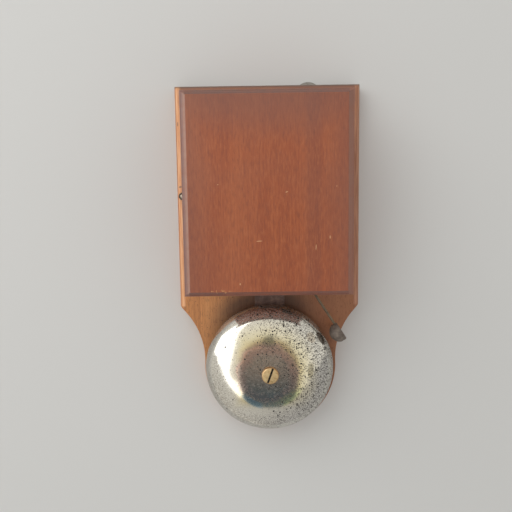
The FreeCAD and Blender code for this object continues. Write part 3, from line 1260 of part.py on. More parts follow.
def make_fixing():
    """Angle lug on the left wall, its eye on the board, and the screw that holds the cover."""
    upright = box((total(CASE_LEFT, "-dims.lug_thickness"), "dims.lug_line - dims.lug_width / 2", FRONT),
                  ("dims.lug_thickness", "dims.lug_width", "dims.lug_height"))
    arm = box((LUG_X, "dims.lug_line - dims.lug_eye_radius", FRONT),
              ("dims.lug_reach", "2 * dims.lug_eye_radius", "dims.lug_thickness"))
    eye = cylinder((LUG_X, "dims.lug_line", FRONT), "dims.lug_eye_radius", "dims.lug_thickness")
    hole = cylinder((LUG_X, "dims.lug_line", total(FRONT, "-1")), COVER_SCREW_BORE, "dims.lug_thickness + 2")
    rise = total(FRONT, "dims.lug_fixing_height")
    ys = ["dims.lug_line + (%d) * dims.lug_fixing_spread / 2" % side for side in (-1, 1)]
    small = [cylinder((total(CASE_LEFT, "-3"), y, rise), "dims.lug_screw_shank + dims.running_clearance",
                      "5", "+X") for y in ys]
    named(cut(fuse(upright, arm, eye), hole, *small), "cover_lug")
    named(copies(wood_screw("lug_screw"), [(total(CASE_LEFT, "-dims.lug_thickness"), y, rise) for y in ys],
                 turn=ALONG["-X"]), "lug_screws")
    screw = turned([
        ("0", "-dims.cover_screw_length"),
        ("dims.cover_screw_radius", "1 - dims.cover_screw_length"),
        ("dims.cover_screw_radius", "0"),
        ("dims.cover_screw_head", "0"),
        ("dims.cover_screw_head - 0.2", "0.5"),
        ("0", "1.2", "2.2"),
    ])
    slot = box(("-3", "-dims.cover_screw_slot / 2", "0.7"), ("6", "dims.cover_screw_slot", "2"))
    head = cut(screw, slot)
    place(head, LUG_X, "dims.lug_line", total(FRONT, "dims.lug_thickness", "0.02"),
          turn=Rotation(Vector(0, 0, 1), 35))
    named(head, "cover_screw")


# ---------------------------------------------------------------- build and export

make_backboard()
make_hanger()
make_gong()
make_gong_mounting()
make_base_frame()
make_magnet()
make_spring_post()
make_armature()
make_hammer()
make_contact()
make_terminals()
make_wires()
make_cover()
make_fixing()
doc.recompute()

problems = []
for item in doc.Objects:
    if any(word in item.State for word in ("Invalid", "Error")):
        problems.append("%s: %s" % (item.Label, item.State))
for item in nodes:
    shape = item.Shape
    if shape.isNull() or not shape.isValid() or not shape.Solids:
        problems.append("%s: bad shape" % item.Label)
if problems:
    raise RuntimeError("; ".join(problems))

os.makedirs("parts", exist_ok=True)
for item in nodes:
    item.Shape.exportStep("parts/%s.step" % item.Label)
whole = FreeCAD.BoundBox()
for item in nodes:
    whole.add(item.Shape.optimalBoundingBox(False, False))
print("%d nodes, box %s" % (len(nodes), whole))
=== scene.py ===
"""Looks of the wooden-cased electric bell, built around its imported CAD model.

Metres in the row frame: +Y towards the top of the bell, +X to the right, +Z out of the front.
Positions inside the material functions are in millimetres.
"""
import json
import math
from collections import namedtuple

import bmesh
import bpy
from mathutils import Matrix, Vector


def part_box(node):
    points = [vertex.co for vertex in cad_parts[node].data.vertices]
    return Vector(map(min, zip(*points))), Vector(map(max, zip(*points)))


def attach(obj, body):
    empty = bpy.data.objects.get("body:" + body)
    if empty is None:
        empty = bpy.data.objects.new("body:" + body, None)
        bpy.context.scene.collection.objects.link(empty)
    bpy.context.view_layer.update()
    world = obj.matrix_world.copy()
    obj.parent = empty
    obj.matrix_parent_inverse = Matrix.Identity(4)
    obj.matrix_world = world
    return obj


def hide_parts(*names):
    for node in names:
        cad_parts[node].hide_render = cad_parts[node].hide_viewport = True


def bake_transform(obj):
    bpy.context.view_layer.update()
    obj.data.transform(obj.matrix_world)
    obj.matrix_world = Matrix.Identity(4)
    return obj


MM = 0.001

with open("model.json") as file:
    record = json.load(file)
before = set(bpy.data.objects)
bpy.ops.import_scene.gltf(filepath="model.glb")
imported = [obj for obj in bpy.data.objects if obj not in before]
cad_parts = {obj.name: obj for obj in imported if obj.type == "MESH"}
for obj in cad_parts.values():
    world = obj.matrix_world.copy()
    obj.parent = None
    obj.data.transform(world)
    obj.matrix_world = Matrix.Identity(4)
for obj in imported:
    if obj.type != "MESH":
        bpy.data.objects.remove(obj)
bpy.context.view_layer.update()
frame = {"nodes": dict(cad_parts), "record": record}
nodes = frame["nodes"]


# ---------------------------------------------------------------- places read from the frame

def extent(node):
    """Lowest and highest corner of a CAD node, in millimetres."""
    low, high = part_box(node)
    return low / MM, high / MM


BOARD_HIGH = extent("backboard")[1]
GONG_LOW, GONG_HIGH = extent("gong")
PANEL_LOW, PANEL_HIGH = extent("cover_panel")
GONG_X = (GONG_LOW.x + GONG_HIGH.x) / 2
GONG_Y = (GONG_LOW.y + GONG_HIGH.y) / 2
GONG_RADIUS = (GONG_HIGH.x - GONG_LOW.x) / 2
PANEL_X = (PANEL_LOW.x + PANEL_HIGH.x) / 2
PANEL_HALF_WIDTH = (PANEL_HIGH.x - PANEL_LOW.x) / 2
SHOULDER_Y = -28.0                      # corners of the board, above its hollow sides
ARRIS = 3.2                             # width of the board's rounded edge
FIELD_RISE = 1.9                        # the panel's field stands this far above its margin
FIELD_END = 2.4                         # from the head or foot of the panel to its field


# ---------------------------------------------------------------- node helpers

class Shader:
    """A new material and short ways to add nodes to it."""

    def __init__(self, name, **sockets):
        self.material = bpy.data.materials.new(name)
        self.material.use_nodes = True
        self.tree = self.material.node_tree
        self.tree.nodes.clear()
        self.surface = self.tree.nodes.new("ShaderNodeBsdfPrincipled")
        out = self.tree.nodes.new("ShaderNodeOutputMaterial")
        self.tree.links.new(self.surface.outputs[0], out.inputs[0])
        for socket, value in sockets.items():
            self.set(socket.replace("_", " "), value)
        self.point = self.add("ShaderNodeTexCoord").outputs["Object"]
        split = self.add("ShaderNodeSeparateXYZ", {0: self.scaled(1 / MM)})
        self.x, self.y, self.z = split.outputs

    def set(self, socket, value):
        """Give one of the surface's sockets a number, a colour or a link."""
        self.feed(self.surface.inputs[socket], value)

    def base_colour(self):
        """The link that gives the surface its colour so far."""
        return self.surface.inputs["Base Color"].links[0].from_socket

    def feed(self, target, value):
        if isinstance(value, bpy.types.NodeSocket):
            self.tree.links.new(value, target)
        elif hasattr(value, "__len__") and target.type == "RGBA" and len(value) == 3:
            target.default_value = (*value, 1.0)
        else:
            target.default_value = value

    def add(self, kind, inputs=None, **settings):
        node = self.tree.nodes.new(kind)
        for name, value in settings.items():
            setattr(node, name, value)
        for key, value in (inputs or {}).items():
            self.feed(node.inputs[key], value)
        return node

    def scaled(self, x, y=None, z=None, turn=(0, 0, 0)):
        """Object position times a factor along each axis."""
        factors = (x, x if y is None else y, x if z is None else z)
        node = self.add("ShaderNodeMapping", {"Vector": self.point, "Rotation": turn, "Scale": factors})
        return node.outputs[0]

    def math(self, operation, a, b=0.0):
        return self.add("ShaderNodeMath", {0: a, 1: b}, operation=operation).outputs[0]

    def plus(self, a, b):
        return self.math("ADD", a, b)

    def minus(self, a, b):
        return self.math("SUBTRACT", a, b)

    def times(self, a, b):
        return self.math("MULTIPLY", a, b)

    def between(self, value, low, high):
        """0 below low and 1 above high, with a smooth rise. With high under low it falls."""
        node = self.add("ShaderNodeMapRange", {0: value, 1: low, 2: high}, interpolation_type="SMOOTHSTEP")
        return node.outputs[0]

    def mix(self, share, a, b):
        return self.add("ShaderNodeMix", {0: share, 6: a, 7: b}, data_type="RGBA").outputs[2]

    def tinted(self, colour, tint, mask, strength):
        """The colour, turned towards the tint by the strength where the mask is 1."""
        return self.mix(self.times(mask, strength), colour, tint)

    def noise(self, vector, detail=2.0, roughness=0.5, distortion=0.0):
        """Noise from 0 to 1, about 0.5."""
        node = self.add("ShaderNodeTexNoise", {"Vector": vector, "Scale": 1.0, "Detail": detail,
                                               "Roughness": roughness, "Distortion": distortion})
        return node.outputs[0]

    def patches(self, cells, low, high, **settings):
        """Mask of patches: noise with so many cells for each millimetre, cut between two levels."""
        return self.between(self.noise(self.scaled(cells / MM), **settings), low, high)

    def ramp(self, value, *stops):
        """Colour ramp: each stop is a place and a colour."""
        node = self.add("ShaderNodeValToRGB", {0: value})
        elements = node.color_ramp.elements
        while len(elements) < len(stops):
            elements.new(0.5)
        for element, (place, colour) in zip(elements, stops):
            element.position = place
            element.color = (*colour, 1.0)
        return node.outputs[0]

    def all_of(self, *masks):
        result = masks[0]
        for mask in masks[1:]:
            result = self.times(result, mask)
        return result

    def any_of(self, *masks):
        result = masks[0]
        for mask in masks[1:]:
            result = self.math("MAXIMUM", result, mask)
        return result

    def band(self, value, centre, half, soft):
        """1 where the value lies within half of the centre, and 0 past the soft margin."""
        away = self.math("ABSOLUTE", self.minus(value, centre))
        return self.between(away, half + soft, half)

    def edges(self, radius):
        """1 on sharp edges and 0 on flat ground, from the bevelled normal."""
        bevel = self.add("ShaderNodeBevel", {"Radius": radius * MM}, samples=4)
        flat = self.add("ShaderNodeNewGeometry").outputs["Normal"]
        dot = self.add("ShaderNodeVectorMath", {0: bevel.outputs[0], 1: flat}, operation="DOT_PRODUCT")
        return self.between(dot.outputs["Value"], 0.985, 0.80)

    def bump(self, height, distance, soft_edge=None):
        """Bump with the height's full range as deep as the distance, in millimetres."""
        inputs = {"Height": height, "Distance": distance * MM, "Strength": 1.0}
        if soft_edge:
            inputs["Normal"] = self.add("ShaderNodeBevel", {"Radius": soft_edge * MM}, samples=4).outputs[0]
        self.set("Normal", self.add("ShaderNodeBump", inputs).outputs[0])


def srgb(red, green, blue):
    """Linear colour of an sRGB triple from 0 to 255."""
    def linear(level):
        level /= 255
        return level / 12.92 if level <= 0.04045 else ((level + 0.055) / 1.055) ** 2.4
    return tuple(linear(level) for level in (red, green, blue))


def mark(shade, x, y, half_width, half_length, lean):
    """Mask of a small elongated mark on the front, at a place in millimetres; lean in degrees."""
    across = shade.minus(shade.x, x)
    along = shade.minus(shade.y, y)
    cos, sin = math.cos(math.radians(lean)), math.sin(math.radians(lean))
    u = shade.plus(shade.times(across, cos), shade.times(along, sin))
    v = shade.minus(shade.times(along, cos), shade.times(across, sin))
    u = shade.math("POWER", shade.math("DIVIDE", u, half_width), 2.0)
    v = shade.math("POWER", shade.math("DIVIDE", v, half_length), 2.0)
    return shade.between(shade.plus(u, v), 1.2, 0.5)


def marks(shade, places):
    """Mask of several marks."""
    return shade.any_of(*[mark(shade, *place) for place in places])


def pits(shade, cells, share, largest):
    """Mask of round pits: cells for each millimetre, the share of cells with one, its largest radius."""
    node = shade.add("ShaderNodeTexVoronoi", {"Vector": shade.scaled(cells / MM), "Scale": 1.0,
                                              "Randomness": 1.0})
    chance = shade.add("ShaderNodeSeparateColor", {0: node.outputs["Color"]}).outputs[0]
    size = shade.times(shade.between(chance, shade.minus(1.0, share), 1.0), largest * cells)
    warp = shade.times(shade.noise(shade.scaled(cells * 2.2 / MM), detail=3.0), 0.6)
    reach = shade.times(node.outputs["Distance"], shade.plus(0.7, warp))
    return shade.between(shade.minus(size, reach), 0.0, 0.06)


def from_gong(shade):
    """How far a point lies to the right of the gong's centre, above it, and away from it."""
    dx = shade.minus(shade.x, GONG_X)
    dy = shade.minus(shade.y, GONG_Y)
    squares = shade.plus(shade.math("POWER", dx, 2.0), shade.math("POWER", dy, 2.0))
    return dx, dy, shade.math("SQRT", squares)


# ---------------------------------------------------------------- wood

Figure = namedtuple("Figure", "ribbon streak pores fleck dash")


def wood_figure(shade, along, fine):
    """Noises of mahogany with its grain along an axis: broad ribbons, streaks, pores, flecks, dashes."""
    def stretched(across, lengthwise):
        if along == "y":
            return shade.scaled(across / MM, lengthwise / MM, across / MM)
        return shade.scaled(lengthwise / MM, across / MM, across / MM)

    ribbon = shade.noise(stretched(0.075, 0.008), detail=3.0, distortion=0.3)
    streak = shade.noise(stretched(0.9 * fine, 0.022), detail=4.0, roughness=0.65)
    pore = shade.noise(stretched(2.3 * fine, 0.21), detail=2.0, roughness=0.6)
    fleck = shade.noise(stretched(1.5 * fine, 0.33), detail=3.0, roughness=0.6)
    dash = shade.noise(stretched(1.25, 0.23), detail=2.0, roughness=0.6)
    return Figure(ribbon, streak, shade.between(pore, 0.60, 0.70), fleck, dash)


def grain_bump(shade, figure, soft_edge):
    """Fine relief of the grain, with the pores as hollows."""
    shade.bump(shade.minus(shade.times(figure.streak, 0.3), figure.pores), 0.03, soft_edge=soft_edge)


def case_wood(name, along):
    """Reddish polished mahogany of the cover."""
    shade = Shader(name, Roughness=0.44, Coat_Weight=0.35, Coat_Roughness=0.32, Specular_IOR_Level=0.4)
    figure = wood_figure(shade, along, 1.5)
    tone = shade.plus(shade.times(figure.ribbon, 0.55), shade.times(figure.streak, 0.45))
    colour = shade.ramp(tone, (0.30, srgb(150, 71, 36)), (0.48, srgb(163, 82, 42)), (0.68, srgb(179, 97, 52)))
    # a darker ribbon towards the right of the panel
    colour = shade.tinted(colour, srgb(128, 70, 52), shade.band(shade.x, 22.0, 2.2, 3.0), 0.36)
    colour = shade.tinted(colour, srgb(116, 58, 38), shade.between(figure.dash, 0.53, 0.64), 0.30)
    colour = shade.tinted(colour, srgb(200, 122, 72), shade.between(figure.dash, 0.46, 0.36), 0.20)
    colour = shade.tinted(colour, srgb(150, 88, 64), shade.patches(0.03, 0.35, 0.65, detail=3.0), 0.22)
    colour = shade.tinted(colour, srgb(104, 52, 36), figure.pores, 0.38)
    colour = shade.tinted(colour, srgb(190, 120, 84), shade.between(figure.fleck, 0.62, 0.78), 0.22)
    worn = shade.times(shade.edges(0.5), shade.patches(0.35, 0.30, 0.55, detail=4.0))
    colour = shade.tinted(colour, srgb(200, 140, 108), worn, 0.3)
    shade.set("Base Color", colour)
    grain_bump(shade, figure, 0.2)
    return shade


def moulding_polish_and_painted_light(shade):
    """Old polish on the moulding's slopes with painted light: a pinkish painted reflection, greyer outside,
    painted shade browner on the right and dark at the foot; dark at the head.
    """
    top = PANEL_HIGH.z
    outer = shade.between(shade.z, top - 0.45 * FIELD_RISE, top - 0.75 * FIELD_RISE)
    # painted light: pinkish where the slope turns up to the field, greyer on its outer part
    film = shade.mix(outer, srgb(190, 148, 128), srgb(146, 118, 110))
    # painted shade: browner on the right slope, away from the light
    film = shade.mix(shade.between(shade.x, 30.0, 38.0), film, srgb(160, 112, 92))
    within = shade.band(shade.x, PANEL_X, PANEL_HALF_WIDTH - 3.0, 1.0)
    # painted shade: darker on the foot's slope, which faces down
    foot_line = PANEL_LOW.y + FIELD_END
    foot = shade.between(shade.y, foot_line + 0.1, foot_line - 0.1)
    film = shade.mix(shade.times(foot, within), film, srgb(122, 74, 60))
    # the head's slope is dark, and lighter on its outer part
    head_line = PANEL_HIGH.y - FIELD_END
    head = shade.between(shade.y, head_line - 0.1, head_line + 0.1)
    dark = shade.mix(outer, srgb(80, 58, 52), srgb(118, 94, 84))
    return shade.mix(shade.times(head, within), film, dark)


# marks on the panel: x, y, half width and half length in millimetres, lean in degrees
PANEL_KNOCKS = [(-5.9, 14.6, 1.7, 0.25, 3.0), (23.2, 11.1, 0.22, 1.6, -4.0), (30.4, 16.2, 0.3, 0.9, 0.0),
                (8.35, 39.5, 0.7, 0.3, 20.0), (-16.1, -7.6, 0.35, 0.6, 0.0), (33.8, 42.1, 0.25, 0.3, 0.0),
                (-26.6, 43.6, 0.4, 0.2, 10.0)]
PANEL_CHIPS = [(-30.6, -11.2, 0.8, 0.3, 0.0), (-28.3, -11.5, 0.4, 1.0, 10.0), (-25.2, -10.9, 1.1, 0.5, -15.0),
               (-23.8, -12.0, 0.7, 0.6, 20.0), (-21.4, -11.2, 1.0, 0.25, -5.0)]
VEIL_REACH = 30.0                       # the greyer tone fades out this far below the panel's head
VEIL_SIDE = 8.0                         # along its sides it is narrower by this


def panel_wood():
    """The cover's front: the polished wood with its knocks, and old polish with painted light on the
    moulding's slope.
    """
    shade = case_wood("panel_mahogany", "y")
    colour = shade.base_colour()
    # old polish and painted light on the moulding's slope, in patches
    slope = shade.between(shade.z, PANEL_HIGH.z - 0.02, PANEL_HIGH.z - 0.25)
    thickness = shade.plus(0.55, shade.times(shade.patches(0.25, 0.25, 0.65, detail=4.0), 0.3))
    colour = shade.mix(shade.times(slope, thickness), colour, moulding_polish_and_painted_light(shade))
    # greyer towards the panel's head and, less so, along its sides
    aside = shade.math("ABSOLUTE", shade.minus(shade.x, PANEL_X))
    from_side = shade.minus(PANEL_HALF_WIDTH + VEIL_SIDE, aside)
    inset = shade.math("MINIMUM", from_side, shade.minus(PANEL_HIGH.y, shade.y))
    colour = shade.tinted(colour, srgb(120, 82, 72), shade.between(inset, VEIL_REACH, 2.0), 0.50)
    colour = shade.tinted(colour, srgb(222, 172, 124), marks(shade, PANEL_KNOCKS), 0.7)
    broken = shade.patches(1.3, 0.38, 0.54, detail=3.0)
    chips = shade.times(marks(shade, PANEL_CHIPS), broken)
    colour = shade.tinted(colour, srgb(206, 146, 92), chips, 0.85)
    shade.set("Base Color", colour)
    return shade


BOARD_SPECKS = [(-51.9, 43.6, 1.0, 0.7, 15.0), (-52.4, 80.0, 0.4, 1.4, 0.0)]    # as for the panel's marks


def board_edges(shade, colour):
    """Worn rounded edges of the straight sides: golden on the left, reddish on the right."""
    outward = shade.math("ABSOLUTE", shade.x)
    side = BOARD_HIGH.x
    edge = shade.between(outward, side - ARRIS - 0.5, side - ARRIS + 0.3)
    straight = shade.between(shade.y, SHOULDER_Y - 0.6, SHOULDER_Y + 0.6)
    worn = shade.noise(shade.scaled(1.2 / MM, 0.06 / MM, 0.6 / MM), detail=4.0)
    golden = shade.mix(shade.between(worn, 0.35, 0.65), srgb(208, 138, 86), srgb(236, 176, 126))
    golden = shade.mix(shade.between(outward, side - 1.3, side - 0.3), golden, srgb(184, 116, 72))
    reddish = shade.mix(shade.between(worn, 0.40, 0.62), srgb(160, 104, 74), srgb(188, 132, 100))
    arris = shade.mix(shade.between(shade.x, -10.0, 10.0), golden, reddish)
    colour = shade.mix(shade.times(edge, straight), colour, arris)
    return shade.tinted(colour, srgb(84, 60, 46), marks(shade, BOARD_SPECKS), 0.6)


def board_head(shade, colour):
    """Old brown polish above the cover, nearly black along the board's upper edge."""
    outward = shade.math("ABSOLUTE", shade.x)
    polish = shade.times(shade.between(shade.y, 89.0, 92.0), shade.between(outward, 52.5, 49.5))
    patchy = shade.times(shade.noise(shade.scaled(0.12 / MM), detail=4.0), 0.3)
    colour = shade.mix(shade.times(polish, shade.plus(0.72, patchy)), colour, srgb(130, 86, 70))
    return shade.tinted(colour, srgb(74, 60, 50), shade.between(shade.y, 99.6, 101.2), 0.65)


def board_painted_shadow(shade, colour):
    """Painted shadow, dark brown, on the board round the top of the gong, where the cover and the gong shade
    it.
    """
    dx, dy, radius = from_gong(shade)
    # painted shadow of the cover and the gong on the board
    dirt = shade.all_of(shade.between(radius, 54.0, 41.0), shade.between(dy, 2.0, 22.0),
                        shade.between(dx, 33.0, 12.0), shade.between(dx, -44.0, -18.0))
    return shade.tinted(colour, srgb(68, 46, 36), dirt, 0.80)


def board_wood():
    """Golden varnished mahogany of the backboard, redder to the right, with its wear and dirt, and a painted
    shadow above the gong.
    """
    shade = Shader("board_mahogany", Roughness=0.44, Coat_Weight=0.3, Coat_Roughness=0.3,
                   Specular_IOR_Level=0.4)
    figure = wood_figure(shade, "y", 1.3)
    tone = shade.plus(shade.times(figure.ribbon, 0.6), shade.times(figure.streak, 0.4))
    colour = shade.ramp(tone, (0.30, srgb(166, 102, 54)), (0.5, srgb(206, 138, 78)),
                        (0.70, srgb(228, 164, 102)))
    colour = shade.tinted(colour, srgb(154, 98, 68), shade.between(shade.x, -12.0, 34.0), 0.8)
    colour = shade.tinted(colour, srgb(110, 62, 38), figure.pores, 0.4)
    stain = shade.patches(0.22, 0.58, 0.74, detail=5.0, roughness=0.7)
    colour = shade.tinted(colour, srgb(120, 72, 42), stain, 0.42)
    colour = shade.tinted(colour, srgb(116, 66, 38), shade.between(figure.dash, 0.53, 0.64), 0.30)
    spots = shade.any_of(pits(shade, 0.45, 0.22, 0.5), pits(shade, 0.9, 0.30, 0.32))
    colour = shade.tinted(colour, srgb(92, 48, 28), spots, 0.55)
    colour = board_edges(shade, colour)
    colour = board_head(shade, colour)
    colour = board_painted_shadow(shade, colour)
    shade.set("Base Color", colour)
    grain_bump(shade, figure, 0.25)
    return shade


# ---------------------------------------------------------------- the gong's nickel

TARNISH_REACH = 40.0                    # radius at the end of the ramp below


def gong_tarnish(shade, dx, dy, radius, ring):
    """Tarnish in rings round the screw, with a green and a blue tinge and two stains."""
    clear = srgb(232, 229, 221)
    tarnish = shade.ramp(shade.math("DIVIDE", ring, TARNISH_REACH),
                         (0.00, srgb(200, 192, 178)), (0.28, srgb(190, 182, 170)),
                         (0.36, srgb(200, 176, 164)), (0.42, srgb(212, 188, 168)),
                         (0.48, srgb(226, 210, 168)), (0.56, srgb(232, 222, 190)),
                         (0.68, srgb(240, 233, 212)), (0.84, clear))
    # the lower part and the left have lost their yellow
    bleached = shade.any_of(shade.between(dx, -14.0, -24.0), shade.between(dy, -15.0, -23.0))
    colour = shade.tinted(tarnish, clear, bleached, 0.8)
    green = shade.all_of(shade.band(radius, 19.6, 0.8, 1.2), shade.band(dx, 13.0, 4.0, 3.0),
                         shade.between(dy, -7.0, -12.0))
    colour = shade.tinted(colour, srgb(212, 220, 156), green, 0.5)
    blue = shade.all_of(shade.band(radius, 19.8, 1.0, 1.6), shade.band(dx, -11.0, 4.0, 4.0),
                        shade.between(dy, -10.0, -15.0))
    colour = shade.tinted(colour, srgb(176, 202, 214), blue, 0.6)
    olive = mark(shade, GONG_X + 23.6, GONG_Y + 1.0, 1.9, 5.0, -6.0)
    colour = shade.tinted(colour, srgb(132, 120, 84), olive, 0.55)
    brown = mark(shade, GONG_X + 24.0, GONG_Y + 20.0, 2.4, 3.6, 30.0)
    return shade.tinted(colour, srgb(176, 152, 118), brown, 0.4)


def gong_middle(shade, colour, dx, dy, ring, inner, mottle):
    """Brown and rosy mottling in and round the dark middle."""
    brown = shade.times(inner, shade.between(mottle, 0.50, 0.66))
    colour = shade.tinted(colour, srgb(120, 104, 88), brown, 0.55)
    pale = shade.times(inner, shade.between(mottle, 0.48, 0.34))
    colour = shade.tinted(colour, srgb(226, 196, 180), pale, 0.45)
    rose = shade.all_of(shade.band(ring, 16.4, 0.35, 0.5), shade.between(dx, 2.0, -6.0),
                        shade.between(dy, -4.0, 2.0))
    return shade.tinted(colour, srgb(248, 206, 184), rose, 0.45)


def gong_pits(shade, dx, dy):
    """Mask of the pits, which are dense at the top and right and thin out to the left."""
    lean = shade.plus(shade.times(dx, 0.017), shade.times(dy, 0.007))
    cloud = shade.noise(shade.scaled(0.07 / MM), detail=4.0, roughness=0.65)
    dense = shade.between(shade.plus(cloud, lean), 0.20, 0.82)
    fine = pits(shade, 1.9, shade.plus(0.03, shade.times(dense, 0.97)), 0.29)
    coarse = pits(shade, 0.8, shade.plus(0.03, shade.times(dense, 0.50)), 0.58)
    return shade.any_of(fine, coarse)


def gong_outer(shade, colour, dx, dy, radius):
    """The outer part: a fine grey mottling, brown dirt at the lower left, and a rim darkened as painted
    shade.
    """
    speckle = shade.patches(1.7, 0.47, 0.60, detail=3.0, roughness=0.7)
    rightward = shade.plus(0.62, shade.times(shade.between(dx, -24.0, 12.0), 0.38))
    outer = shade.times(shade.between(radius, 20.0, 30.0), 0.66)
    # it is weaker at the head
    head = shade.times(shade.between(dy, 6.0, 16.0), shade.band(dx, -5.0, 9.0, 8.0))
    outer = shade.times(outer, shade.minus(1.0, shade.times(head, 0.7)))
    colour = shade.mix(shade.all_of(speckle, outer, rightward), colour, srgb(98, 90, 80))
    grime = shade.all_of(shade.between(radius, 27.0, 34.0), shade.between(dy, 6.0, -14.0),
                         shade.between(dx, 16.0, -6.0),
                         shade.patches(1.1, 0.44, 0.58, detail=4.0, roughness=0.7))
    colour = shade.tinted(colour, srgb(112, 98, 80), grime, 0.5)
    # painted shade: a darker rim, as where it mirrors the shadowed floor
    return shade.tinted(colour, srgb(132, 120, 102), shade.between(radius, 33.5, 37.8), 0.45)


def nickel():
    """Polished nickel plate of the gong, tarnished, pitted and dusty."""
    shade = Shader("nickel_plate", Metallic=1.0)
    dx, dy, radius = from_gong(shade)
    wander = shade.minus(shade.noise(shade.scaled(0.12 / MM), detail=4.0, roughness=0.6), 0.5)
    ring = shade.plus(radius, shade.times(wander, 7.0))
    # the rings lie closer together on the right than on the left
    ring = shade.plus(ring, shade.times(dx, 0.12))
    inner = shade.between(ring, 21.0, 15.0)             # the dark middle
    mottle = shade.noise(shade.scaled(0.9 / MM), detail=4.0, roughness=0.7)
    colour = gong_tarnish(shade, dx, dy, radius, ring)
    colour = gong_middle(shade, colour, dx, dy, ring, inner, mottle)
    colour = gong_outer(shade, colour, dx, dy, radius)
    pitted = gong_pits(shade, dx, dy)
    shade.set("Base Color", shade.mix(pitted, colour, srgb(42, 37, 31)))
    # a thin dusty film lies over all of it, in patches, and thicker at the head and in the middle
    film = shade.plus(0.03, shade.times(shade.between(mottle, 0.40, 0.65), 0.07))
    film = shade.plus(film, shade.times(shade.between(dy, 20.0, 28.0), 0.17))
    flecks = shade.times(inner, shade.patches(0.75, 0.50, 0.62, detail=4.0, roughness=0.7))
    film = shade.plus(film, shade.times(flecks, 0.20))
    dull = shade.math("MAXIMUM", shade.times(pitted, 0.85), film)
    shade.set("Metallic", shade.minus(1.0, dull))
    haze = shade.times(shade.noise(shade.scaled(0.5 / MM), detail=4.0), 0.16)
    shade.set("Roughness", shade.plus(shade.plus(haze, 0.04), shade.times(pitted, 0.5)))
    wave = shade.noise(shade.scaled(0.05 / MM), detail=2.0)
    shade.bump(shade.minus(shade.times(wave, 3.0), pitted), 0.02)
    return shade


# ---------------------------------------------------------------- other metals and small parts

def metal(name, clean, dirty, roughness, bump=0.01):
    """Dulled metal with blotches of a darker tone, fewer of them on the worn edges."""
    shade = Shader(name, Metallic=1.0)
    blotch = shade.noise(shade.scaled(0.45 / MM), detail=5.0, roughness=0.65)
    grain = shade.noise(shade.scaled(5.0 / MM), detail=3.0)
    dirt = shade.between(shade.plus(blotch, shade.times(grain, 0.25)), 0.55, 0.95)
    dirt = shade.times(dirt, shade.minus(1.0, shade.edges(0.3)))
    shade.set("Base Color", shade.mix(dirt, clean, dirty))
    shade.set("Roughness", shade.plus(roughness, shade.times(blotch, 0.12)))
    shade.bump(grain, bump, soft_edge=0.12)
    return shade


def iron(name, dark, middle, light, metallic):
    """Japanned or browned iron, rubbed through at its edges."""
    shade = Shader(name, Metallic=metallic, Specular_IOR_Level=0.4)
    blotch = shade.noise(shade.scaled(0.4 / MM), detail=5.0, roughness=0.7)
    colour = shade.ramp(blotch, (0.35, dark), (0.55, middle), (0.72, light))
    colour = shade.tinted(colour, srgb(150, 140, 130), shade.edges(0.35), 0.5)
    shade.set("Base Color", colour)
    shade.set("Roughness", shade.plus(0.42, shade.times(blotch, 0.3)))
    pimples = shade.noise(shade.scaled(2.6 / MM), detail=4.0, roughness=0.6)
    shade.bump(pimples, 0.04, soft_edge=0.2)
    return shade


def screw_brass():
    """Worn brass of the gong's screw, browner at its edge, with its slot painted black as dirt and as painted
    shade in the recess.
    """
    shade = metal("screw_brass", srgb(252, 224, 172), srgb(196, 150, 92), 0.42, bump=0.03)
    colour = shade.base_colour()
    high = extent("gong_screw")[1]
    radius = from_gong(shade)[2]
    colour = shade.tinted(colour, srgb(156, 96, 56), shade.between(radius, 3.9, high.x - GONG_X), 0.6)
    # dirt and painted shade: black, not metal, down in the slot
    slot = shade.times(shade.between(shade.z, high.z - 0.35, high.z - 0.75), shade.between(radius, 4.6, 4.2))
    shade.set("Base Color", shade.mix(slot, colour, srgb(24, 18, 14)))
    shade.set("Metallic", shade.minus(1.0, slot))
    return shade


def ebonite():
    """Black ebonite, dulled brown where light has reached it."""
    shade = Shader("ebonite", Roughness=0.42)
    blotch = shade.noise(shade.scaled(0.3 / MM), detail=4.0)
    shade.set("Base Color", shade.ramp(blotch, (0.35, srgb(26, 24, 23)), (0.7, srgb(48, 42, 36))))
    shade.bump(shade.noise(shade.scaled(3.0 / MM), detail=3.0), 0.01, soft_edge=0.15)
    return shade


def thread_wrap(name, light, dark, pitch):
    """Silk or cotton covering: fine slanting lays round the wire and a little fluff."""
    shade = Shader(name, Roughness=0.85, Sheen_Weight=0.35, Sheen_Roughness=0.4)
    wave = shade.add("ShaderNodeTexWave", {"Vector": shade.scaled(1 / MM, turn=(0.3, 0.5, 0.8)),
                                           "Scale": 1 / pitch, "Distortion": 1.2, "Detail": 2.0})
    lay = wave.outputs["Fac"]
    fluff = shade.noise(shade.scaled(4.0 / MM), detail=3.0)
    tone = shade.plus(shade.times(lay, 0.5), shade.times(fluff, 0.5))
    shade.set("Base Color", shade.ramp(tone, (0.25, dark), (0.75, light)))
    shade.bump(lay, 0.05)
    return shade


# one look for each material slot of the record
MATERIALS = {
    "board_mahogany": board_wood(),
    "case_mahogany": case_wood("case_mahogany", "y"),
    "nickel_plate": nickel(),
    "brass": metal("brass", srgb(214, 170, 96), srgb(120, 88, 50), 0.24),
    "dark_iron": iron("dark_iron", srgb(58, 49, 44), srgb(84, 70, 62), srgb(108, 84, 68), 0.5),
    "steel": metal("steel", srgb(164, 152, 138), srgb(100, 88, 74), 0.38),
    "silver": metal("silver", srgb(226, 222, 214), srgb(120, 112, 100), 0.2),
    "ebonite": ebonite(),
    "green_silk": thread_wrap("green_silk", srgb(62, 106, 66), srgb(22, 46, 30), 0.35),
    "cotton_lead": thread_wrap("cotton_lead", srgb(176, 150, 108), srgb(104, 82, 54), 0.5),
}
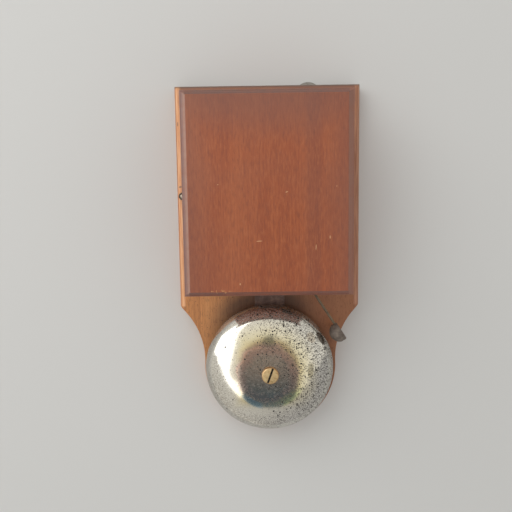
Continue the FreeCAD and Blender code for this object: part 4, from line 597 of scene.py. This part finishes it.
# nodes whose look isn't that of their material slot
NODE_MATERIALS = {
    "cover_panel": panel_wood(),
    "cover_wall_lower": case_wood("case_mahogany_cross", "x"),
    "base_frame": iron("frame_iron", srgb(98, 78, 70), srgb(122, 98, 88), srgb(148, 120, 104), 0.2),
    "cover_lug": iron("lug_iron", srgb(84, 74, 64), srgb(106, 94, 80), srgb(130, 116, 98), 0.4),
    "cover_screw": metal("cover_screw_steel", srgb(196, 184, 168), srgb(128, 114, 98), 0.45, bump=0.03),
    "hammer_rod": metal("rod_steel", srgb(134, 120, 102), srgb(96, 82, 70), 0.5),
    "gong_screw": screw_brass(),
    "hammer_head": iron("hammer_iron", srgb(96, 84, 76), srgb(122, 110, 100), srgb(142, 128, 116), 0.3),
    "hanger_plate": metal("hanger_steel", srgb(154, 150, 144), srgb(108, 103, 97), 0.45, bump=0.02),
}
NODE_MATERIALS["cover_wall_top"] = NODE_MATERIALS["cover_wall_lower"]


def dress(piece, shade):
    """Give a piece one material."""
    piece.data.materials.clear()
    piece.data.materials.append(shade.material)


slot_of = {entry["node"]: entry["material_slot"] for entry in frame["record"]["subparts"]}
for name, node in nodes.items():
    dress(node, NODE_MATERIALS.get(name) or MATERIALS[slot_of[name]])


# ---------------------------------------------------------------- modelled pieces

SHARP_EDGE = math.radians(30.0)         # edges that turn by more than this stay sharp
WELD = 1e-7                             # metres between corners that are one


def mesh_piece(name, corners, faces, body, slot):
    """Welded mesh from corners in millimetres, smooth but for its sharp edges.

    A piece without a body is left unattached.
    """
    mesh = bpy.data.meshes.new(name)
    mesh.from_pydata([Vector(corner) * MM for corner in corners], [], faces)
    work = bmesh.new()
    work.from_mesh(mesh)
    bmesh.ops.remove_doubles(work, verts=work.verts, dist=WELD)
    bmesh.ops.recalc_face_normals(work, faces=work.faces)
    work.to_mesh(mesh)
    work.free()
    mesh.polygons.foreach_set("use_smooth", [True] * len(mesh.polygons))
    mesh.update()
    mesh.set_sharp_from_angle(angle=SHARP_EDGE)
    piece = bpy.data.objects.new(name, mesh)
    bpy.context.scene.collection.objects.link(piece)
    dress(piece, MATERIALS[slot])
    if body:
        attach(piece, body)
    return piece


def moved(corners, x, y, z=0.0):
    """Corners shifted along each axis."""
    return [(cx + x, cy + y, cz + z) for cx, cy, cz in corners]


def arc(centre, radius, start, end, steps):
    """Points of a circular arc, angles in radians."""
    points = []
    for step in range(steps + 1):
        angle = start + (end - start) * step / steps
        points.append((centre[0] + radius * math.cos(angle), centre[1] + radius * math.sin(angle)))
    return points


def turned(profile, segments, ripple=None):
    """Corners and faces of a closed ring profile (radius, height) spun about Z.

    ripple(radius, angle) may change a corner's radius.
    """
    corners = []
    for segment in range(segments):
        angle = 2 * math.pi * segment / segments
        for radius, height in profile:
            reach = ripple(radius, angle) if ripple else radius
            corners.append((reach * math.cos(angle), reach * math.sin(angle), height))
    count = len(profile)
    faces = []
    for segment in range(segments):
        after = (segment + 1) % segments
        for index in range(count):
            following = (index + 1) % count
            faces.append((segment * count + index, after * count + index,
                          after * count + following, segment * count + following))
    return corners, faces


CROWN_RADIUS = 85.0
SHOULDER_RADIUS = 12.0
GONG_WALL = 1.6
GONG_HOLE = 2.5
RIM_ROUNDING = 0.35
GONG_FACETS = 192
CROWN_STEPS = 40
SHOULDER_STEPS = 24


def gong_profile():
    """Ring profile of the gong: crown, shoulder and rim outside, then the same inside."""
    height = GONG_HIGH.z - GONG_LOW.z
    # the hole takes a little off the apex, so the crown's centre follows from the hole's edge
    centre_y = height - math.sqrt(CROWN_RADIUS ** 2 - GONG_HOLE ** 2)
    span = math.hypot(GONG_RADIUS, centre_y)
    apart = CROWN_RADIUS - SHOULDER_RADIUS
    along = (apart ** 2 - SHOULDER_RADIUS ** 2 + span ** 2) / (2 * span)
    across = math.sqrt(apart ** 2 - along ** 2)
    forward = (GONG_RADIUS / span, -centre_y / span)
    shoulder = (forward[0] * along - forward[1] * across, centre_y + forward[1] * along + forward[0] * across)
    tangent = math.atan2(shoulder[1] - centre_y, shoulder[0])
    points = []
    for crown, turn, outside in ((CROWN_RADIUS, SHOULDER_RADIUS, True),
                                 (CROWN_RADIUS - GONG_WALL, SHOULDER_RADIUS - GONG_WALL, False)):
        top = math.acos(GONG_HOLE / crown)
        rim = math.asin((RIM_ROUNDING - shoulder[1]) / turn)
        stretch = arc((0.0, centre_y), crown, top, tangent, CROWN_STEPS)
        stretch += arc(shoulder, turn, tangent, rim, SHOULDER_STEPS)[1:]
        points += stretch if outside else stretch[::-1]
        if outside:
            outer_rim, inner_rim = stretch[-1][0], shoulder[0] + turn - GONG_WALL
            points += [(outer_rim - RIM_ROUNDING, 0.0), (inner_rim + RIM_ROUNDING, 0.0)]
    return points


def make_gong():
    """Smooth shell of the gong."""
    corners, faces = turned(gong_profile(), GONG_FACETS)
    gong = mesh_piece("gong_shell", moved(corners, GONG_X, GONG_Y, GONG_LOW.z), faces, "base", "nickel_plate")
    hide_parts("gong")


WIRE_RADIUS = 0.35                      # of the covered wire on the bobbins
WIRE_SIDES = 8
WIRE_STEPS = 32                         # of one turn
WINDING_BORE = 5.0
WINDING_FACETS = 64


def make_winding(node):
    """Silk-covered wire wound on a bobbin: the outer layer as one helix over the layers below it."""
    low, high = extent(node)
    middle_y, middle_z = (low.y + high.y) / 2, (low.z + high.z) / 2
    wound = (high.z - low.z) / 2 - WIRE_RADIUS
    turns = round((high.x - low.x) / (2 * WIRE_RADIUS))
    count = turns * WIRE_STEPS
    corners = []
    for step in range(count + 1):
        angle = 2 * math.pi * step / WIRE_STEPS
        along = low.x + WIRE_RADIUS + (high.x - low.x - 2 * WIRE_RADIUS) * step / count
        for side in range(WIRE_SIDES):
            turn = 2 * math.pi * side / WIRE_SIDES
            reach = wound + WIRE_RADIUS * math.cos(turn)
            corners.append((along + WIRE_RADIUS * math.sin(turn),
                            middle_y + reach * math.cos(angle), middle_z + reach * math.sin(angle)))
    faces = [tuple(range(WIRE_SIDES)), tuple(range(count * WIRE_SIDES, (count + 1) * WIRE_SIDES))]
    for step in range(count):
        for side in range(WIRE_SIDES):
            beside = (side + 1) % WIRE_SIDES
            faces.append((step * WIRE_SIDES + side, step * WIRE_SIDES + beside,
                          (step + 1) * WIRE_SIDES + beside, (step + 1) * WIRE_SIDES + side))
    profile = [(WINDING_BORE, low.x), (wound, low.x), (wound, high.x), (WINDING_BORE, high.x)]
    below, below_faces = turned(profile, WINDING_FACETS)
    start = len(corners)
    corners += [(height, middle_y + x, middle_z + y) for x, y, height in below]
    faces += [tuple(index + start for index in face) for face in below_faces]
    winding = mesh_piece(node + "_wire", corners, faces, "base", "green_silk")
    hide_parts(node)


def threaded(radius, depth, pitch, low, high):
    """Profile points of a screw thread, drawn as rings."""
    count = int((high - low) / pitch)
    points = []
    for turn in range(count):
        points += [(radius - depth, low + turn * pitch), (radius, low + (turn + 0.5) * pitch)]
    return points + [(radius - depth, low + count * pitch)]


KNURL_BAND = 0.45                       # the teeth are cut where a profile comes this near its widest
KNURL_STEPS = 6                         # facets of one tooth


def knurled(profile, teeth, tooth):
    """Corners and faces of a ring profile whose widest part has lengthwise teeth."""
    widest = max(radius for radius, height in profile)

    def knurl(radius, angle):
        cut = tooth * (0.5 - 0.5 * math.cos(teeth * angle))
        return radius - cut if radius > widest - KNURL_BAND else radius

    return turned(profile, teeth * KNURL_STEPS, knurl)


STUD_RADIUS = 1.98
STUD_FACETS = 48
THREAD_DEPTH = 0.22
THREAD_PITCH = 0.7
FLANGE_HEIGHT = 3.0                     # above the board, its rounded edges included


def make_terminal_stud(side):
    """Threaded brass stud with its flange."""
    node = "terminal_post_" + side
    low, high = extent(node)
    x, y = (low.x + high.x) / 2, (low.y + high.y) / 2
    flange = (high.x - low.x) / 2
    foot = BOARD_HIGH.z
    shelf = foot + FLANGE_HEIGHT
    profile = [(0.0, low.z), (STUD_RADIUS - 0.4, low.z), (STUD_RADIUS - 0.1, foot), (flange - 0.3, foot),
               (flange, foot + 0.3), (flange, shelf - 0.4), (flange - 0.4, shelf)]
    profile += threaded(STUD_RADIUS, THREAD_DEPTH, THREAD_PITCH, shelf, high.z - 0.5)
    profile += [(STUD_RADIUS - 0.5, high.z), (0.0, high.z)]
    corners, faces = turned(profile, STUD_FACETS)
    stud = mesh_piece("terminal_stud_" + side, moved(corners, x, y), faces, "base", "brass")
    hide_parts(node)


TERMINAL_NUT_BORE = 2.05
TERMINAL_NUT_TEETH = 36
TERMINAL_NUT_TOOTH = 0.28
WAIST_STEP = 1.2                        # the nut's neck is this much slimmer, and this high


def make_terminal_nut(side):
    """Knurled brass nut with a slimmer neck."""
    node = "terminal_nut_" + side
    low, high = extent(node)
    x, y = (low.x + high.x) / 2, (low.y + high.y) / 2
    radius = (high.x - low.x) / 2
    waist = radius - WAIST_STEP
    profile = [(TERMINAL_NUT_BORE, low.z), (waist, low.z), (waist, low.z + WAIST_STEP),
               (radius - 0.3, low.z + 1.3), (radius, low.z + 1.6), (radius, high.z - 0.5),
               (radius - 0.4, high.z - 0.1), (radius - 1.4, high.z), (TERMINAL_NUT_BORE, high.z)]
    corners, faces = knurled(profile, TERMINAL_NUT_TEETH, TERMINAL_NUT_TOOTH)
    nut = mesh_piece("knurled_nut_" + side, moved(corners, x, y), faces, node, "brass")
    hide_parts(node)


LOCK_NUT_BORE = 1.6
LOCK_NUT_TEETH = 30
LOCK_NUT_TOOTH = 0.22
LOCK_NUT_CHAMFER = 0.3


def make_lock_nut():
    """Knurled brass nut that locks the contact screw."""
    low, high = extent("lock_nut")
    radius, thickness = (high.y - low.y) / 2, high.x - low.x
    chamfer = LOCK_NUT_CHAMFER
    profile = [(LOCK_NUT_BORE, 0.0), (radius - chamfer, 0.0), (radius, chamfer),
               (radius, thickness - chamfer), (radius - chamfer, thickness), (LOCK_NUT_BORE, thickness)]
    corners, faces = knurled(profile, LOCK_NUT_TEETH, LOCK_NUT_TOOTH)
    middle_y, middle_z = (low.y + high.y) / 2, (low.z + high.z) / 2
    corners = [(low.x + z, middle_y + x, middle_z + y) for x, y, z in corners]
    nut = mesh_piece("knurled_lock_nut", corners, faces, "lock_nut", "brass")
    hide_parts("lock_nut")


SPRING_SECTIONS = 46


def make_armature_spring():
    """Steel blade between its clamp and the armature, in many short sections."""
    low, high = extent("armature_spring")
    corners = []
    for section in range(SPRING_SECTIONS + 1):
        y = low.y + (high.y - low.y) * section / SPRING_SECTIONS
        corners += [(low.x, y, low.z), (high.x, y, low.z), (high.x, y, high.z), (low.x, y, high.z)]
    faces = [(0, 1, 2, 3), tuple(4 * SPRING_SECTIONS + index for index in (3, 2, 1, 0))]
    for section in range(SPRING_SECTIONS):
        first = 4 * section
        for index in range(4):
            beside = (index + 1) % 4
            faces.append((first + index, first + 4 + index, first + 4 + beside, first + beside))
    blade = mesh_piece("spring_blade", corners, faces, None, "steel")
    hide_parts("armature_spring")
    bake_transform(blade)


make_gong()
make_winding("winding_lower")
make_winding("winding_upper")
for terminal in ("left", "right"):
    make_terminal_stud(terminal)
    make_terminal_nut(terminal)
make_lock_nut()
make_armature_spring()


# ---------------------------------------------------------------- studio

def flat_face(name, corners):
    """One flat face from corners in metres."""
    mesh = bpy.data.meshes.new(name)
    mesh.from_pydata([Vector(corner) for corner in corners], [], [tuple(range(len(corners)))])
    face = bpy.data.objects.new(name, mesh)
    bpy.context.scene.collection.objects.link(face)
    return face


FLOOR_HALF_SIZE = 3.0
FLOOR_HEIGHT = -0.0002                  # just clear of the board's back


def make_floor():
    """Pale sheet of paper under the bell."""
    signs = [(-1, -1), (1, -1), (1, 1), (-1, 1)]
    corners = [(x * FLOOR_HALF_SIZE, y * FLOOR_HALF_SIZE, FLOOR_HEIGHT) for x, y in signs]
    floor = flat_face("floor", corners)
    shade = Shader("floor_paper", Roughness=0.9, Specular_IOR_Level=0.1)
    shade.set("Base Color", srgb(219, 218, 215))
    dress(floor, shade)


KEY_PLACE = (-0.62, 0.64, 0.60)
KEY_TARGET = (-0.1, 0.0, 0.0)
KEY_WIDTH = 1.1
KEY_HEIGHT = 1.2
KEY_WATTS = 5.8


def make_lamp():
    """Soft light from the upper left, as from a window. The gong doesn't mirror it."""
    light = bpy.data.lights.new("key_lamp", "AREA")
    light.shape = "RECTANGLE"
    light.size = KEY_WIDTH
    light.size_y = KEY_HEIGHT
    light.energy = KEY_WATTS
    holder = bpy.data.objects.new("key_lamp", light)
    bpy.context.scene.collection.objects.link(holder)
    direction = Vector(KEY_TARGET) - Vector(KEY_PLACE)
    holder.matrix_world = (Matrix.Translation(KEY_PLACE)
                           @ direction.to_track_quat("-Z", "Y").to_matrix().to_4x4())
    holder.visible_glossy = False


ROOM_LIGHT = ((1.0, 1.0, 0.985, 1.0), 0.61)             # colour and strength of what lights the bell
ROOM_SEEN = ((0.88, 0.86, 0.80, 1.0), 0.95)             # and of what the camera and reflections see


def make_world():
    """Soft even room: plain light on the bell, and a pale ceiling in its reflections."""
    world = bpy.data.worlds.new("room")
    bpy.context.scene.world = world
    world.use_nodes = True
    tree = world.node_tree
    tree.nodes.clear()
    path = tree.nodes.new("ShaderNodeLightPath")
    either = tree.nodes.new("ShaderNodeMath")
    either.operation = "MAXIMUM"
    tree.links.new(path.outputs["Is Camera Ray"], either.inputs[0])
    tree.links.new(path.outputs["Is Glossy Ray"], either.inputs[1])
    choose = tree.nodes.new("ShaderNodeMixShader")
    tree.links.new(either.outputs[0], choose.inputs[0])
    for socket, (colour, strength) in ((1, ROOM_LIGHT), (2, ROOM_SEEN)):
        background = tree.nodes.new("ShaderNodeBackground")
        background.inputs[0].default_value = colour
        background.inputs[1].default_value = strength
        tree.links.new(background.outputs[0], choose.inputs[socket])
    out = tree.nodes.new("ShaderNodeOutputWorld")
    tree.links.new(choose.outputs[0], out.inputs[0])


def card(name, outline, height, glow):
    """Flat level card that only reflections see.

    The outline is given in metres for a height of 1 m, and so are the places that glow works from:
    it is a colour, or a function of a Shader and a place that gives one.
    """
    plate = flat_face(name, [(x * height, y * height, height) for x, y in outline])
    shade = Shader(name, Base_Color=(0.0, 0.0, 0.0), Specular_IOR_Level=0.0, Emission_Strength=1.0)
    if callable(glow):
        across = shade.math("DIVIDE", shade.x, height / MM)
        along = shade.math("DIVIDE", shade.y, height / MM)
        glow = glow(shade, across, along)
    shade.set("Emission Color", glow)
    dress(plate, shade)
    plate.visible_camera = False
    plate.visible_diffuse = False
    plate.visible_shadow = False
    plate.visible_transmission = False


# far edge of the pale sheet as the gong mirrors it, in metres for a height of 1 m
SHEET_EDGE = [(-1.60, -0.20), (-0.96, -0.40), (-0.81, -0.73), (-0.56, -1.04), (-0.46, -1.13),
              (-0.30, -1.24), (0.02, -1.275), (0.22, -1.25), (0.40, -1.12), (0.55, -0.96),
              (0.78, -0.69), (0.87, -0.51), (1.30, -0.30)]
SHEET_FAR = 120.0                       # where the sheet ends on its other sides
# right edge of the window, which comes back along the sheet's first four points
WINDOW_EDGE = [(-0.30, 0.90), (-0.42, 0.48), (-0.47, 0.30), (-0.54, 0.21), (-0.58, 0.02), (-0.62, -0.15),
               (-0.67, -0.33), (-0.72, -0.48), (-0.67, -0.62), (-0.54, -0.66), (-0.49, -0.80),
               (-0.48, -0.90), (-0.52, -1.00)] + SHEET_EDGE[3::-1]
WINDOW_FAR = -12.0                      # where the window ends on its left
DARK_CARD = [(-0.62, 0.22), (-0.62, -1.6), (0.64, -1.6), (0.64, 0.22)]
DARK_MIDDLE = (0.01, -0.66)
DARK_HALF_WIDTH = 0.50
DARK_HALF_LENGTH = 0.78
CAMERA_CARD = [(-0.09, 0.12), (0.0, 0.16), (0.08, 0.17), (0.10, -0.02), (-0.11, -0.04)]
WINDOW_GLOW = (2.2, 2.2, 2.2)
CAMERA_GLOW = (0.20, 0.20, 0.19)
ROOM_GLOW = (0.84, 0.82, 0.76)


def sheet_glow(shade, x, y):
    """Paler towards the window."""
    return shade.mix(shade.between(x, -1.6, 0.9), (0.66, 0.64, 0.60), (0.42, 0.41, 0.40))


def dark_glow(shade, x, y):
    """A dark rounded patch on the ceiling, brown at its head and bluish at its foot."""
    u = shade.math("DIVIDE", shade.minus(x, DARK_MIDDLE[0]), DARK_HALF_WIDTH)
    v = shade.math("DIVIDE", shade.minus(y, DARK_MIDDLE[1]), DARK_HALF_LENGTH)
    powers = [shade.math("POWER", shade.math("ABSOLUTE", part), 2.5) for part in (u, v)]
    tone = shade.ramp(shade.between(y, 0.1, -1.15), (0.0, (0.42, 0.36, 0.31)), (0.35, (0.26, 0.23, 0.21)),
                      (0.65, (0.14, 0.155, 0.165)), (0.9, (0.08, 0.13, 0.165)))
    return shade.mix(shade.between(shade.plus(*powers), 1.25, 0.85), ROOM_GLOW, tone)


def make_cards():
    """What the gong mirrors: a window to the left, the pale sheet, the dark of the room, the camera."""
    card("window_card", WINDOW_EDGE + [(WINDOW_FAR, 0.5), (WINDOW_FAR, 5.0)], height=0.45, glow=WINDOW_GLOW)
    far = [(SHEET_FAR, 1.0), (SHEET_FAR, -SHEET_FAR), (-SHEET_FAR, -SHEET_FAR), (-SHEET_FAR, 0.5)]
    card("sheet_card", SHEET_EDGE + far, height=0.50, glow=sheet_glow)
    card("dark_card", DARK_CARD, height=0.55, glow=dark_glow)
    card("camera_card", CAMERA_CARD, height=0.40, glow=CAMERA_GLOW)


CAMERA_PLACE = (-0.00729, 0.03715, 0.333)
CAMERA_PITCH = math.radians(6.24)       # it looks this far towards the foot of the bell
CAMERA_ROLL = math.radians(-0.81)
FOCAL_PIXELS = 540.0                    # focal length for a picture of 512 pixels
PICTURE = 512.0
SENSOR = 36.0


def make_camera():
    """Camera above the bell, a little towards its top."""
    camera = bpy.data.objects.new("camera", bpy.data.cameras.new("camera"))
    bpy.context.scene.collection.objects.link(camera)
    camera.data.sensor_width = SENSOR
    camera.data.lens = SENSOR * FOCAL_PIXELS / PICTURE
    camera.matrix_world = (Matrix.Translation(CAMERA_PLACE) @ Matrix.Rotation(CAMERA_ROLL, 4, "Z")
                           @ Matrix.Rotation(-CAMERA_PITCH, 4, "X"))
    bpy.context.scene.camera = camera


make_floor()
make_world()
make_cards()
make_lamp()
make_camera()
bpy.context.scene.view_settings.view_transform = "Standard"
